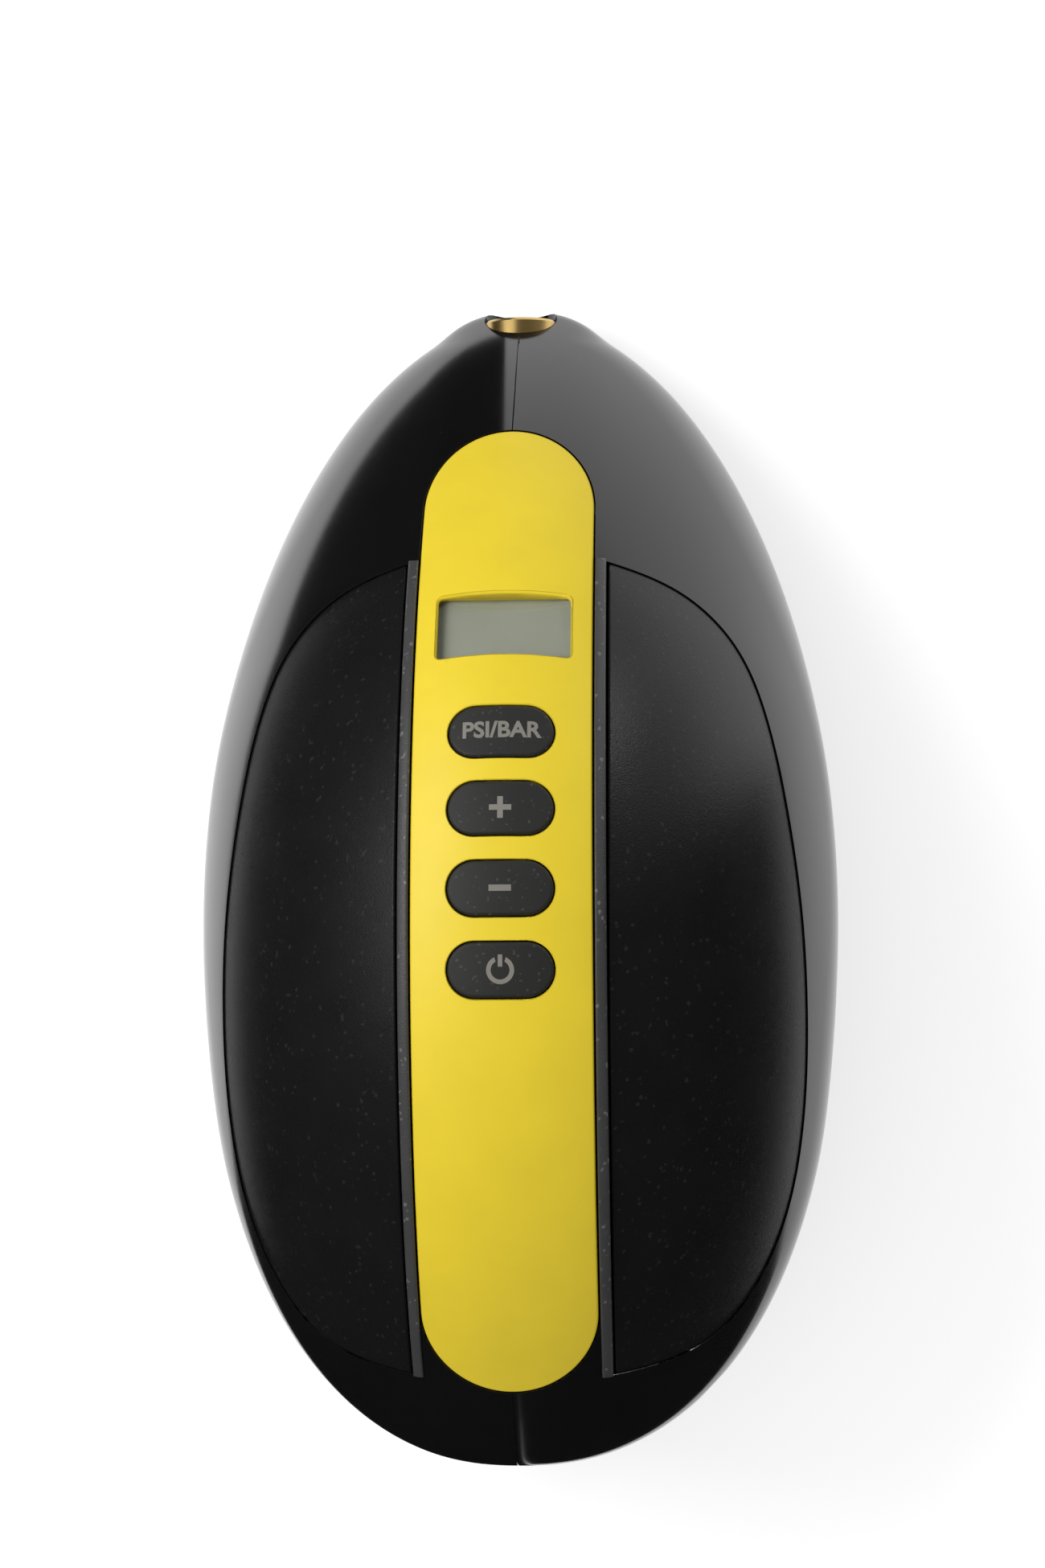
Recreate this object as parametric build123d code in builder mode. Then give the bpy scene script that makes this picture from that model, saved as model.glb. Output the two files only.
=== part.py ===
from build123d import *
from math import acos, asin, cos, degrees, pi, radians, sin, sqrt, tan
import os

# Cordless inflator for shocks and tyres, in millimetres.
# +Z is up, +Y points to the nose, the origin is at floor level under the middle.

# Housing form
body_height = 102.0
half_width = 59.0
nose_reach = 109.0
tail_reach = 108.2
widest_y = -6.0
tail_fullness = 2.4
outline_steps = 24
back_radius = 119.0
back_apex_y = -21.0
nose_start_angle = 40.0
nose_radius = 230.0
spine_radius = 40.0
flank_radius = 78.0
foot_stand = 3.0
wall = 3.0
seam_fillet = 1.6

# Clearances
seat_clearance = 0.02
bed_gap = 0.05
fit_gap = 0.1
moving_gap = 0.3
running_clearance = 0.03

# Console strip, its rails and the ledge that they sit on
console_half = 15.1
console_nose_y = 79.9
console_tail_y = -88.0
console_thickness = 2.2
console_gap = 0.3
rail_width = 2.0
rail_proud = 0.5
ledge_thickness = 2.0
ledge_margin = 2.2
window_half = 13.8
window_front_y = 54.0
window_back_y = -31.0

# Grip panels
panel_thickness = 1.4
panel_sink = 0.25
panel_gap = 0.3
panel_front_y = 55.6
panel_tail_y = -86.0

# Buttons
button_angle = 3.74
button_pitch = 6.475
button_width = 17.6
button_height = 9.1
button_proud = 0.25
button_clearance = 0.25
button_travel = 0.8
button_flange = 0.8
button_flange_depth = 5.2
button_stem_radius = 1.5
stem_gap = 0.15

# Display
display_angle = 33.3
display_width = 22.8
display_length = 12.6
display_corner = 0.8
pane_depth = 2.7
pane_thickness = 1.2
module_thickness = 3.4
display_lip = 0.6
display_frame_wall = 1.4
display_board_thickness = 1.2

# Control board
board_depth = 14.0
board_width = 25.0
board_length = 60.0
board_thickness = 1.6
post_radius = 2.0
post_x = 9.4
post_reach = 27.0
switch_size = 6.0
switch_height = 3.5
actuator_radius = 1.6
actuator_height = 1.0

# Pump drive
crank_y = 0.0
crank_z = 33.0
gear_module = 1.0
pinion_teeth = 12
gear_teeth = 40
pressure_angle = 25.0
tooth_backlash = 0.12
gear_width = 7.0
gear_bore = 2.0
frame_x = -1.0
frame_plate = 3.0
frame_gap = 1.0
frame_foot = 2.5
web_thickness = 3.4
crank_radius = 6.0
rod_length = 34.0
rod_thickness = 5.0
crank_pin_radius = 2.5
big_bearing_radius = 5.0
big_eye_radius = 7.5
small_eye_radius = 4.5
wrist_pin_radius = 2.0
hub_radius = 7.7
bearing_radius = 6.5
bearing_width = 5.0

# Cylinder and head
bore_radius = 11.0
piston_clearance = 0.1
cylinder_wall = 2.5
piston_skirt = 5.5
piston_crown = 7.5
seal_width = 1.6
seal_depth = 1.2
squish = 1.5
valve_plate_thickness = 1.5
head_size = 32.0
head_height = 8.5
flange_thickness = 2.5
gasket_thickness = 0.5
bolt_radius = 1.5
nipple_radius = 2.6
nipple_length = 4.5
nipple_drop = 6.0
tube_wall = 1.1

# Motor
motor_radius = 18.0
motor_length = 50.0
motor_wall = 1.5
motor_cap = 4.0
motor_shaft_radius = 1.6
armature_radius = 11.5
armature_length = 28.0
magnet_thickness = 3.0
motor_screw_spacing = 25.0

# Battery
cell_radius = 9.2
cell_length = 65.2
cell_gap = 0.6
battery_y = -67.0
tray_floor = 1.5
tray_wall = 1.3

# Ports
port_z = 14.0
fitting_radius = 7.0
fitting_lip = 0.8
fitting_recess = 4.0
fitting_length = 11.0
thread_radius = 4.28
thread_depth = 9.0
inlet_z = 31.0
inlet_radius = 5.5
inlet_bore = 2.75
inlet_pin = 1.0
inlet_depth = 9.5

# Fasteners and feet
screw_radius = 1.5
screw_head_radius = 2.8
screw_head_height = 2.0
screw_length = 16.0
small_screw_length = 6.0
board_screw_radius = 1.0
boss_radius = 4.6
screw_web = 6.0
foot_radius = 7.0
foot_recess = 1.0
post_height = 2.0
floor_post_radius = 3.6

# Air vents in the floor
vent_rows = 7
vent_pitch = 4.0
vent_width = 2.0
vent_length = 14.0
vent_x = 17.0
vent_y = 43.0

os.makedirs("parts", exist_ok=True)

back_centre = (back_apex_y, body_height - back_radius)
rail_inner = console_half + console_gap
rail_outer = rail_inner + rail_width
spine_half = rail_outer
floor_z = foot_stand + wall


# ---------------------------------------------------------------- housing form
def arc_point(centre, radius, angle):
    turn = radians(angle)
    return centre[0] + radius * sin(turn), centre[1] + radius * cos(turn)


nose_centre = arc_point(back_centre, back_radius - nose_radius, nose_start_angle)


def back_plane(angle, depth=0.0):
    """Plane on the back of the housing, facing outwards, depth below its surface."""
    y, z = arc_point(back_centre, back_radius - depth, angle)
    return Plane(origin=(0, y, z), x_dir=(1, 0, 0), z_dir=(0, sin(radians(angle)), cos(radians(angle))))


def crown(inset):
    """Solid below the crowned back, revolved about the centres of its two profile arcs."""
    turn = degrees(asin(spine_half / spine_radius))
    spans = (
        (back_centre, back_radius, -88.0, nose_start_angle),
        (nose_centre, nose_radius, nose_start_angle, nose_start_angle + 42.0),
    )
    with BuildPart() as solid:
        for centre, radius, start, end in spans:
            step = spine_radius - flank_radius
            spine_v = radius - spine_radius
            flank_u, flank_v = step * sin(radians(turn)), spine_v + step * cos(radians(turn))
            low_v = flank_v - 38.0
            start_turn = radians(start)
            ring = Plane(origin=(0, *centre), x_dir=(1, 0, 0), z_dir=(0, -cos(start_turn), sin(start_turn)))
            with BuildSketch(ring):
                with BuildLine():
                    right = CenterArc((flank_u, flank_v), flank_radius - inset, 0, 90 - turn)
                    left = CenterArc((-flank_u, flank_v), flank_radius - inset, 90 + turn, 90 - turn)
                    top = [radians(turn * share) for share in (1, 0.6, 0.2, -0.2, -0.6, -1)]
                    round_off = spine_radius - inset
                    ends = [(-cos(top[0]), sin(top[0])), (-cos(top[-1]), sin(top[-1]))]
                    Spline([(round_off * sin(t), spine_v + round_off * cos(t)) for t in top], tangents=ends)
                    Polyline(right @ 0, ((right @ 0).X, low_v), ((left @ 1).X, low_v), left @ 1)
                make_face()
            revolve(axis=Axis((0, *centre), (-1, 0, 0)), revolution_arc=end - start)
    return solid.part


def outline_points(side, nose, tail):
    """Plan outline: half an ellipse towards the nose, a fuller curve towards the tail."""
    points = []
    for step in range(outline_steps):
        turn = radians(360.0 * step / outline_steps - 90.0)
        if cos(turn) >= -1e-9:
            points.append((side * sin(turn), widest_y + (nose - widest_y) * max(cos(turn), 0.0)))
        else:
            power = 2.0 / tail_fullness
            across = abs(sin(turn)) ** power * (1 if sin(turn) > 0 else -1)
            points.append((side * across, widest_y - (widest_y - tail) * abs(cos(turn)) ** power))
    return points


def walls(inset):
    """Solid inside the bellied side wall: height, then how far side, nose and tail draw in."""
    levels = (
        (foot_stand + inset, 4.8, 4.0, 3.5),
        (14.0, 2.0, 0.0, 1.0),
        (32.0, 0.2, 1.5, 0.0),
        (0.47 * body_height, 0.0, 8.0, 0.4),
        (0.65 * body_height, 2.7, 17.0, 3.0),
        (1.04 * body_height, 15.3, 43.0, 15.0),
    )
    with BuildPart() as solid:
        for height, side_in, nose_in, tail_in in levels:
            side = half_width - side_in - inset
            with BuildSketch(Plane.XY.offset(height)):
                with BuildLine():
                    points = outline_points(side, nose_reach - nose_in - inset, tail_in + inset - tail_reach)
                    Spline(points, periodic=True)
                make_face()
        loft()
    return solid.part


def housing_form(inset):
    with BuildPart() as form:
        add(walls(inset))
        add(crown(inset), mode=Mode.INTERSECT)
    return form.part


def solid_between(blank, top, bottom):
    """The part of a blank that lies under one crown surface and above another."""
    with BuildPart() as layer:
        add(blank)
        add(top, mode=Mode.INTERSECT)
        if bottom is not None:
            add(bottom, mode=Mode.SUBTRACT)
    return layer.part


# ---------------------------------------------------------------- plan blanks
def console_blank(margin):
    """Upright blank of the console strip: straight sides and round ends, seen from above."""
    middle_y = (console_nose_y + console_tail_y) / 2
    length = console_nose_y - console_tail_y + 2 * margin
    with BuildPart() as blank:
        with BuildSketch(Plane.XY.offset(floor_z)):
            with Locations((0, middle_y)):
                SlotOverall(length, 2 * (console_half + margin), rotation=90)
        extrude(amount=body_height)
    return blank.part


def swelled(points, margin):
    """The same open outline, moved outwards by the margin at each of its points."""
    moved = []
    for index, (x, y) in enumerate(points):
        before, after = points[max(index - 1, 0)], points[min(index + 1, len(points) - 1)]
        along = Vector(after[0] - before[0], after[1] - before[1]).normalized()
        moved.append((x - margin * along.Y, y + margin * along.X))
    return moved


def grip_blank(side, inner_x, margin):
    """Upright blank of one grip panel, from its straight inner edge to its swept outer edge."""
    outer = [
        (rail_inner, panel_front_y), (30.4, 49.6), (40.4, 39.6), (45.4, 27.5), (48.7, 12.0),
        (51.2, -7.0), (52.0, -25.0), (51.0, -47.0), (45.6, -68.0), (35.0, -81.5), (rail_inner, panel_tail_y),
    ]
    path = [(side * x, y) for x, y in swelled(outer, margin)]
    core = side * (rail_inner - rail_width)
    with BuildPart() as blank:
        with BuildSketch(Plane.XY.offset(floor_z)):
            with BuildLine():
                Spline(path)
                Polyline(path[-1], (core, path[-1][1]), (core, path[0][1]), path[0])
            make_face()
            with Locations((side * (inner_x - half_width), 0)):
                Rectangle(2 * half_width, 4 * half_width, mode=Mode.SUBTRACT)
        extrude(amount=body_height)
    return blank.part


def rail_blank(side, margin):
    """Upright blank of one rail, beside the console strip."""
    length = panel_front_y - panel_tail_y + 2 * margin
    with BuildPart() as blank:
        with BuildSketch(Plane.XY.offset(floor_z)):
            with Locations((side * (rail_inner + rail_width / 2), (panel_front_y + panel_tail_y) / 2)):
                Rectangle(rail_width + 2 * margin, length)
        extrude(amount=body_height)
    return blank.part


BASE = (Align.CENTER, Align.CENTER, Align.MIN)


def along_x(x, y, z):
    """Plane facing +X at a point, with its own X along Y."""
    return Plane(origin=(x, y, z), x_dir=(0, 1, 0), z_dir=(1, 0, 0))


def along_y(x, y, z):
    """Plane facing +Y at a point, with its own X along X."""
    return Plane(origin=(x, y, z), x_dir=(1, 0, 0), z_dir=(0, 1, 0))


def save(piece, name):
    piece.label = name
    export_step(piece, f"parts/{name}.step")


def screw(place, radius, length, head_radius=screw_head_radius, head_height=screw_head_height):
    """Pan-head screw whose head sits on the plane and whose shank runs back through it."""
    with BuildPart() as body:
        with Locations(place):
            Cylinder(head_radius, head_height, align=BASE)
            Cylinder(radius, length, align=(Align.CENTER, Align.CENTER, Align.MAX))
        rims = body.edges().filter_by(GeomType.CIRCLE)
        fillet(rims.sort_by(lambda e: place.to_local_coords(e.center()).Z)[-1], 0.4)
    return body.part


surface = crown(0)
console_under = crown(console_thickness)
console_bed = crown(console_thickness + bed_gap)
panel_under = crown(panel_sink + panel_thickness)
panel_bed = crown(panel_sink + panel_thickness + bed_gap)

# ---------------------------------------------------------------- where the inner pieces go
motor_y = crank_y - gear_module * (pinion_teeth + gear_teeth) / 2
gear_x = frame_x + frame_plate + frame_gap
rod_x = gear_x + gear_width + moving_gap + 1.2 + rod_thickness / 2
wrist_y = crank_y - crank_radius + rod_length
piston_back_y = wrist_y - piston_skirt
piston_front_y = wrist_y + piston_crown
web_y = crank_y + gear_module * (gear_teeth / 2 + 1) + 1.6
cylinder_end_y = piston_front_y + 2 * crank_radius + squish
plate_y = cylinder_end_y + gasket_thickness
head_y = plate_y + valve_plate_thickness
head_front_y = head_y + head_height
frame_z = floor_z + post_height
frame_top_z = crank_z + 18.5
bolt_offset = head_size / 2 - 3.4
cell_pitch = 2 * cell_radius + cell_gap
cell_z = frame_z + tray_floor + cell_radius + fit_gap
inlet_face_y = 1.2 - tail_reach
fitting_face_y = nose_reach - fitting_recess
fitting_back_y = fitting_face_y - fitting_length
collar_back_y = fitting_back_y + 2.5

boss_places = [
    (64.0, floor_z + boss_radius + 0.4), (24.0, 66.0), (-58.0, 71.0),
    (-94.0, 53.0), (-94.0, floor_z + boss_radius + 2.0),
]
frame_posts = [(x, y) for x in (-16.0, 26.0) for y in (-34.0, 14.0)]
tray_posts = [(-22.0, battery_y), (22.0, battery_y)]
foot_places = [(34.0, 50.0), (-34.0, 50.0), (36.0, -60.0), (-36.0, -60.0)]

# ---------------------------------------------------------------- housing shells
with BuildPart() as form:
    add(housing_form(0))
    crease = form.edges().filter_by(GeomType.BSPLINE).filter_by(lambda e: e.length > wall)
    crease = crease.filter_by(lambda e: e.bounding_box().min.Z > floor_z)
    crease = crease.filter_by(lambda e: e.bounding_box().max.Z < 0.8 * body_height)
    fillet(crease, seam_fillet)

with BuildPart() as bosses:
    for y, z in boss_places:
        with Locations(along_x(-half_width, y, z)):
            Cylinder(boss_radius, 2 * half_width, align=BASE)
    for x, y in frame_posts + tray_posts:
        with Locations((x, y, foot_stand + wall / 2)):
            Cylinder(floor_post_radius, wall / 2 + post_height, align=BASE)
    with Locations(along_y(0, collar_back_y, port_z)):
        Cylinder(fitting_radius + wall, 2 * fitting_length, align=BASE)
    with Locations(along_y(0, inlet_face_y - wall, inlet_z)):
        Cylinder(inlet_radius + 2.0, inlet_depth + 0.5, align=BASE)
    add(solid_between(console_blank(console_gap + rail_width + ledge_margin), console_bed,
                      crown(console_thickness + ledge_thickness)))
    add(form.part, mode=Mode.INTERSECT)

with BuildPart() as window_blank:
    with BuildSketch(Plane.XY.offset(floor_z)):
        with Locations((0, (window_front_y + window_back_y) / 2)):
            Rectangle(2 * window_half, window_front_y - window_back_y)
    extrude(amount=body_height)

with BuildPart() as housing:
    add(form.part)
    add(housing_form(wall), mode=Mode.SUBTRACT)
    add(bosses.part)
    add(solid_between(window_blank.part, window_blank.part, crown(console_thickness + 2 * ledge_thickness)),
        mode=Mode.SUBTRACT)
    channel = console_blank(console_gap)
    add(solid_between(channel, channel, console_bed), mode=Mode.SUBTRACT)
    for side in (-1, 1):
        recess = grip_blank(side, rail_inner, panel_gap)
        add(solid_between(recess, recess, panel_bed), mode=Mode.SUBTRACT)
    for y, z in boss_places:
        with Locations(along_x(screw_web, y, z)):
            Cylinder(screw_head_radius + moving_gap, half_width, align=BASE, mode=Mode.SUBTRACT)
        with Locations(along_x(screw_web - screw_length - 1, y, z)):
            Cylinder(screw_radius + bed_gap, screw_length + 2, align=BASE, mode=Mode.SUBTRACT)
    for x, y in frame_posts + tray_posts:
        with Locations((x, y, foot_stand + wall / 2)):
            Cylinder(screw_radius + bed_gap, wall + post_height, align=BASE, mode=Mode.SUBTRACT)
    with Locations(along_y(0, fitting_back_y, port_z)):
        Cylinder(fitting_radius + fit_gap, 2 * fitting_length, align=BASE, mode=Mode.SUBTRACT)
    with Locations(along_y(0, -2 * tail_reach, inlet_z)):
        Cylinder(inlet_radius + fit_gap, 1.3 * tail_reach, align=BASE, mode=Mode.SUBTRACT)
    with BuildSketch(Plane.XY.offset(foot_stand - 1)):
        for side in (-1, 1):
            with Locations((side * vent_x, vent_y)):
                with GridLocations(1, vent_pitch, 1, vent_rows):
                    SlotOverall(vent_length, vent_width)
    extrude(amount=wall + 2, mode=Mode.SUBTRACT)
    with Locations([(x, y, foot_stand) for x, y in foot_places]):
        Cylinder(foot_radius + fit_gap, foot_recess, align=BASE, mode=Mode.SUBTRACT)

with BuildPart() as housing_left:
    add(housing.part)
    split(bisect_by=Plane.YZ, keep=Keep.BOTTOM)
save(housing_left.part, "housing_left")

with BuildPart() as housing_right:
    add(housing.part)
    split(bisect_by=Plane.YZ, keep=Keep.TOP)
save(housing_right.part, "housing_right")

with BuildPart() as housing_screws:
    for y, z in boss_places:
        add(screw(along_x(screw_web, y, z), screw_radius, screw_length))
save(housing_screws.part, "housing_screws")

with BuildPart() as rubber_feet:
    for x, y in foot_places:
        with Locations((x, y, 0)):
            Cylinder(foot_radius, foot_stand + foot_recess, align=BASE)
    fillet(rubber_feet.edges().filter_by(GeomType.CIRCLE).group_by(Axis.Z)[0], 0.8)
save(rubber_feet.part, "rubber_feet")

# ---------------------------------------------------------------- grip panels and rails
panel_top = crown(panel_sink)
rail_top = crown(-rail_proud)
for side, name in ((-1, "left"), (1, "right")):
    with BuildPart() as grip_panel:
        add(solid_between(grip_blank(side, rail_outer + panel_gap, 0), panel_top, panel_under))
    save(grip_panel.part, f"grip_panel_{name}")

    with BuildPart() as side_rail:
        add(solid_between(rail_blank(side, -bed_gap), rail_top, panel_under))
    save(side_rail.part, f"side_rail_{name}")

# ---------------------------------------------------------------- console strip
button_names = ("button_power", "button_minus", "button_plus", "button_units")
button_angles = [button_angle + index * button_pitch for index in range(len(button_names))]
board_angle = sum(button_angles) / len(button_angles)
board_plane = back_plane(board_angle, board_depth)
display_plane = back_plane(display_angle)
pane_width = display_width + 2 * display_lip - 2 * fit_gap
pane_length = display_length + 2 * display_lip - 2 * fit_gap
frame_width = display_width + 2 * (display_lip + display_frame_wall)
frame_length = display_length + 2 * (display_lip + display_frame_wall)
module_depth = pane_depth + pane_thickness
display_back = module_depth + module_thickness
post_points = [(x, v) for x in (-post_x, post_x) for v in (-post_reach, post_reach)]

post_length = (sqrt((back_radius - console_thickness / 2) ** 2 - post_reach ** 2) - back_radius + board_depth
               - spine_radius + sqrt(spine_radius ** 2 - post_x ** 2))

with BuildPart() as display_frame:
    with BuildSketch(display_plane.offset(-display_back)):
        Rectangle(frame_width, frame_length)
    extrude(amount=display_back)
    add(crown(console_thickness / 2), mode=Mode.INTERSECT)
    with BuildSketch(display_plane.offset(-pane_depth)):
        RectangleRounded(display_width, display_length, display_corner)
    extrude(amount=2 * pane_depth, mode=Mode.SUBTRACT)
    with BuildSketch(display_plane.offset(-pane_depth)):
        Rectangle(pane_width + 2 * fit_gap, pane_length + 2 * fit_gap)
    extrude(amount=-display_back, mode=Mode.SUBTRACT)

with BuildPart() as console_strip:
    add(solid_between(console_blank(0), surface, console_under))
    with BuildSketch(display_plane.offset(-pane_depth)):
        RectangleRounded(display_width, display_length, display_corner)
    extrude(amount=2 * pane_depth, mode=Mode.SUBTRACT)
    for angle in button_angles:
        with BuildSketch(back_plane(angle, 2 * console_thickness)):
            SlotOverall(button_width + 2 * button_clearance, button_height + 2 * button_clearance)
        extrude(amount=3 * console_thickness, mode=Mode.SUBTRACT)
    with BuildSketch(display_plane.offset(-pane_depth)):
        Rectangle(pane_width + 2 * fit_gap, pane_length + 2 * fit_gap)
    extrude(amount=-display_back, mode=Mode.SUBTRACT)
    add(display_frame.part)
    with BuildSketch(board_plane):
        with Locations(*post_points):
            Circle(post_radius)
    extrude(amount=post_length)
    with BuildSketch(board_plane):
        with Locations(*post_points):
            Circle(board_screw_radius + bed_gap)
    extrude(amount=small_screw_length, mode=Mode.SUBTRACT)
save(console_strip.part, "console_strip")

with BuildPart() as display_pane:
    with BuildSketch(display_plane.offset(-module_depth)):
        Rectangle(pane_width, pane_length)
    extrude(amount=pane_thickness)
save(display_pane.part, "display_pane")

with BuildPart() as display_module:
    with BuildSketch(display_plane.offset(-display_back)):
        Rectangle(pane_width, pane_length)
    extrude(amount=module_thickness)
save(display_module.part, "display_module")

with BuildPart() as display_board:
    with BuildSketch(display_plane.offset(-display_back)):
        Rectangle(frame_width, frame_length)
    extrude(amount=-display_board_thickness)
save(display_board.part, "display_board")

# ---------------------------------------------------------------- buttons and control board
cap_top = crown(-button_proud)
flange_top = crown(console_thickness + moving_gap)
for name, angle in zip(button_names, button_angles):
    lean = cos(radians(angle - board_angle))
    stem_end = (back_radius - board_depth + switch_height + actuator_height + button_travel + stem_gap) / lean
    with BuildPart() as flange:
        with BuildSketch(back_plane(angle, button_flange_depth)):
            SlotOverall(button_width + 2 * button_flange, button_height + 2 * button_flange)
        extrude(amount=button_flange_depth)
        add(flange_top, mode=Mode.INTERSECT)
    with BuildPart() as button:
        with BuildSketch(back_plane(angle, button_flange_depth)):
            SlotOverall(button_width, button_height)
        extrude(amount=2 * button_flange_depth)
        add(cap_top, mode=Mode.INTERSECT)
        add(flange.part)
        with BuildSketch(back_plane(angle, button_flange_depth)):
            Circle(button_stem_radius)
        extrude(amount=button_flange_depth + stem_end - back_radius)
    save(button.part, name)

switch_points = [
    (0, (back_radius - board_depth) * tan(radians(angle - board_angle))) for angle in button_angles
]
with BuildPart() as key_switches:
    with BuildSketch(board_plane):
        with Locations(*switch_points):
            Rectangle(switch_size, switch_size)
    extrude(amount=switch_height)
    with BuildSketch(board_plane.offset(switch_height)):
        with Locations(*switch_points):
            Circle(actuator_radius)
    extrude(amount=actuator_height)
save(key_switches.part, "key_switches")

with BuildPart() as control_board:
    with BuildSketch(board_plane):
        RectangleRounded(board_width, board_length, post_radius)
        with Locations(*post_points):
            Circle(board_screw_radius + fit_gap, mode=Mode.SUBTRACT)
    extrude(amount=-board_thickness)
save(control_board.part, "control_board")

with BuildPart() as board_screws:
    under = board_plane.offset(-board_thickness)
    for x, v in post_points:
        seat = Plane(origin=under.from_local_coords((x, v, 0)), x_dir=(1, 0, 0), z_dir=-under.z_dir)
        add(screw(seat, board_screw_radius, small_screw_length, 1.9, 1.2))
save(board_screws.part, "board_screws")

# ---------------------------------------------------------------- pump frame
frame_back_y = motor_y - motor_radius
head_bolt_points = [(x, z) for x in (-bolt_offset, bolt_offset) for z in (-bolt_offset, bolt_offset)]
web_plane = along_y(rod_x, web_y, crank_z)
motor_screw_heights = [crank_z - motor_screw_spacing / 2, crank_z + motor_screw_spacing / 2]

with BuildPart() as pump_frame:
    with BuildSketch(along_x(frame_x, 0, 0)):
        with Locations(((frame_back_y + web_y) / 2, (frame_z + frame_top_z) / 2)):
            Rectangle(web_y - frame_back_y, frame_top_z - frame_z)
    extrude(amount=frame_plate)
    fillet(pump_frame.edges().filter_by(Axis.X).group_by(Axis.Z)[-1], 6.0)
    with BuildSketch(Plane.XY.offset(frame_z)):
        with Locations((5.0, -10.0)):
            RectangleRounded(50.0, 58.0, 3.0)
    extrude(amount=frame_foot)
    with BuildSketch(web_plane):
        Rectangle(head_size, head_size)
        with Locations((0, (frame_z - crank_z) / 2)):
            Rectangle(head_size, crank_z - frame_z)
    extrude(amount=web_thickness)
    with Locations(along_x(frame_x + frame_plate, crank_y, crank_z)):
        Cylinder(hub_radius, frame_plate + 8.0, align=(Align.CENTER, Align.CENTER, Align.MAX))
    with Locations(along_x(-half_width / 2, crank_y, crank_z)):
        Cylinder(bearing_radius + seat_clearance, half_width, align=BASE, mode=Mode.SUBTRACT)
    with Locations(along_x(frame_x - 1, motor_y, crank_z)):
        Cylinder(2 * motor_shaft_radius, frame_plate + 2, align=BASE, mode=Mode.SUBTRACT)
    for z in motor_screw_heights:
        with Locations(along_x(frame_x - 1, motor_y, z)):
            Cylinder(screw_radius + bed_gap, frame_plate + 2, align=BASE, mode=Mode.SUBTRACT)
    with Locations(along_y(rod_x, web_y - 1, crank_z)):
        Cylinder(bore_radius + cylinder_wall + fit_gap, web_thickness + 2, align=BASE, mode=Mode.SUBTRACT)
    with BuildSketch(along_y(rod_x, web_y - 1, crank_z)):
        with Locations(*head_bolt_points):
            Circle(bolt_radius + bed_gap)
    extrude(amount=web_thickness + 2, mode=Mode.SUBTRACT)
    for x, y in frame_posts:
        with Locations((x, y, frame_z)):
            Cylinder(screw_radius + bed_gap, frame_foot, align=BASE, mode=Mode.SUBTRACT)
save(pump_frame.part, "pump_frame")

with BuildPart() as frame_screws:
    for x, y in frame_posts:
        seat = Plane(origin=(x, y, frame_z + frame_foot), x_dir=(1, 0, 0), z_dir=(0, 0, 1))
        add(screw(seat, screw_radius, frame_foot + post_height + wall / 2))
save(frame_screws.part, "frame_screws")

# ---------------------------------------------------------------- gears and crank
def involute(angle):
    return tan(angle) - angle


def gear_outline(teeth, first_angle):
    """Points round an involute gear, three along each flank."""
    pitch_r = gear_module * teeth / 2
    base_r = pitch_r * cos(radians(pressure_angle))
    root_r, tip_r = pitch_r - 1.25 * gear_module, pitch_r + gear_module
    start_r = max(base_r, root_r)
    half_tooth = pi / (2 * teeth) - tooth_backlash / (2 * pitch_r) + involute(radians(pressure_angle))
    flank = []
    for share in (0.0, 0.35, 0.7, 1.0):
        radius = start_r + share * (tip_r - start_r)
        flank.append((radius, half_tooth - involute(acos(base_r / radius))))
    if root_r < base_r:
        flank.insert(0, (root_r, half_tooth))
    points = []
    for tooth in range(teeth):
        middle = radians(first_angle + 360.0 * tooth / teeth)
        for radius, half in flank:
            points.append((radius * cos(middle - half), radius * sin(middle - half)))
        for radius, half in reversed(flank):
            points.append((radius * cos(middle + half), radius * sin(middle + half)))
    return points


with BuildPart() as crank_gear:
    with BuildSketch(along_x(gear_x, crank_y, crank_z)):
        with BuildLine():
            Polyline(*gear_outline(gear_teeth, 180.0), close=True)
        make_face()
        Circle(gear_bore + seat_clearance, mode=Mode.SUBTRACT)
    extrude(amount=gear_width)
save(crank_gear.part, "crank_gear")

with BuildPart() as crank_shaft:
    with Locations(along_x(frame_x - 8.5, crank_y, crank_z)):
        Cylinder(gear_bore, gear_x + gear_width - frame_x + 8.5, align=BASE)
    with Locations(along_x(gear_x - frame_gap + running_clearance, crank_y, crank_z)):
        Cylinder(2 * gear_bore, frame_gap - 2 * running_clearance, align=BASE)
save(crank_shaft.part, "crank_shaft")

with BuildPart() as crank_bearings:
    for x in (frame_x + frame_plate - bearing_width, frame_x - 8.0):
        with Locations(along_x(x, crank_y, crank_z)):
            Cylinder(bearing_radius, bearing_width, align=BASE)
            Cylinder(gear_bore + running_clearance, bearing_width, align=BASE, mode=Mode.SUBTRACT)
save(crank_bearings.part, "crank_bearings")

with BuildPart() as motor_pinion:
    with BuildSketch(along_x(gear_x, motor_y, crank_z)):
        with BuildLine():
            Polyline(*gear_outline(pinion_teeth, 180.0 / pinion_teeth), close=True)
        make_face()
        Circle(motor_shaft_radius + seat_clearance, mode=Mode.SUBTRACT)
    extrude(amount=gear_width)
save(motor_pinion.part, "motor_pinion")

# ---------------------------------------------------------------- rod and piston
pin_y = wrist_y - rod_length
rod_back_x = rod_x - rod_thickness / 2
with BuildPart() as crank_pin:
    with Locations(along_x(gear_x + gear_width + moving_gap, pin_y, crank_z)):
        Cylinder(crank_pin_radius + 1.0, rod_back_x - gear_x - gear_width - moving_gap, align=BASE)
        Cylinder(crank_pin_radius, rod_back_x + rod_thickness + 1.5 - gear_x - gear_width, align=BASE)
save(crank_pin.part, "crank_pin")

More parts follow.
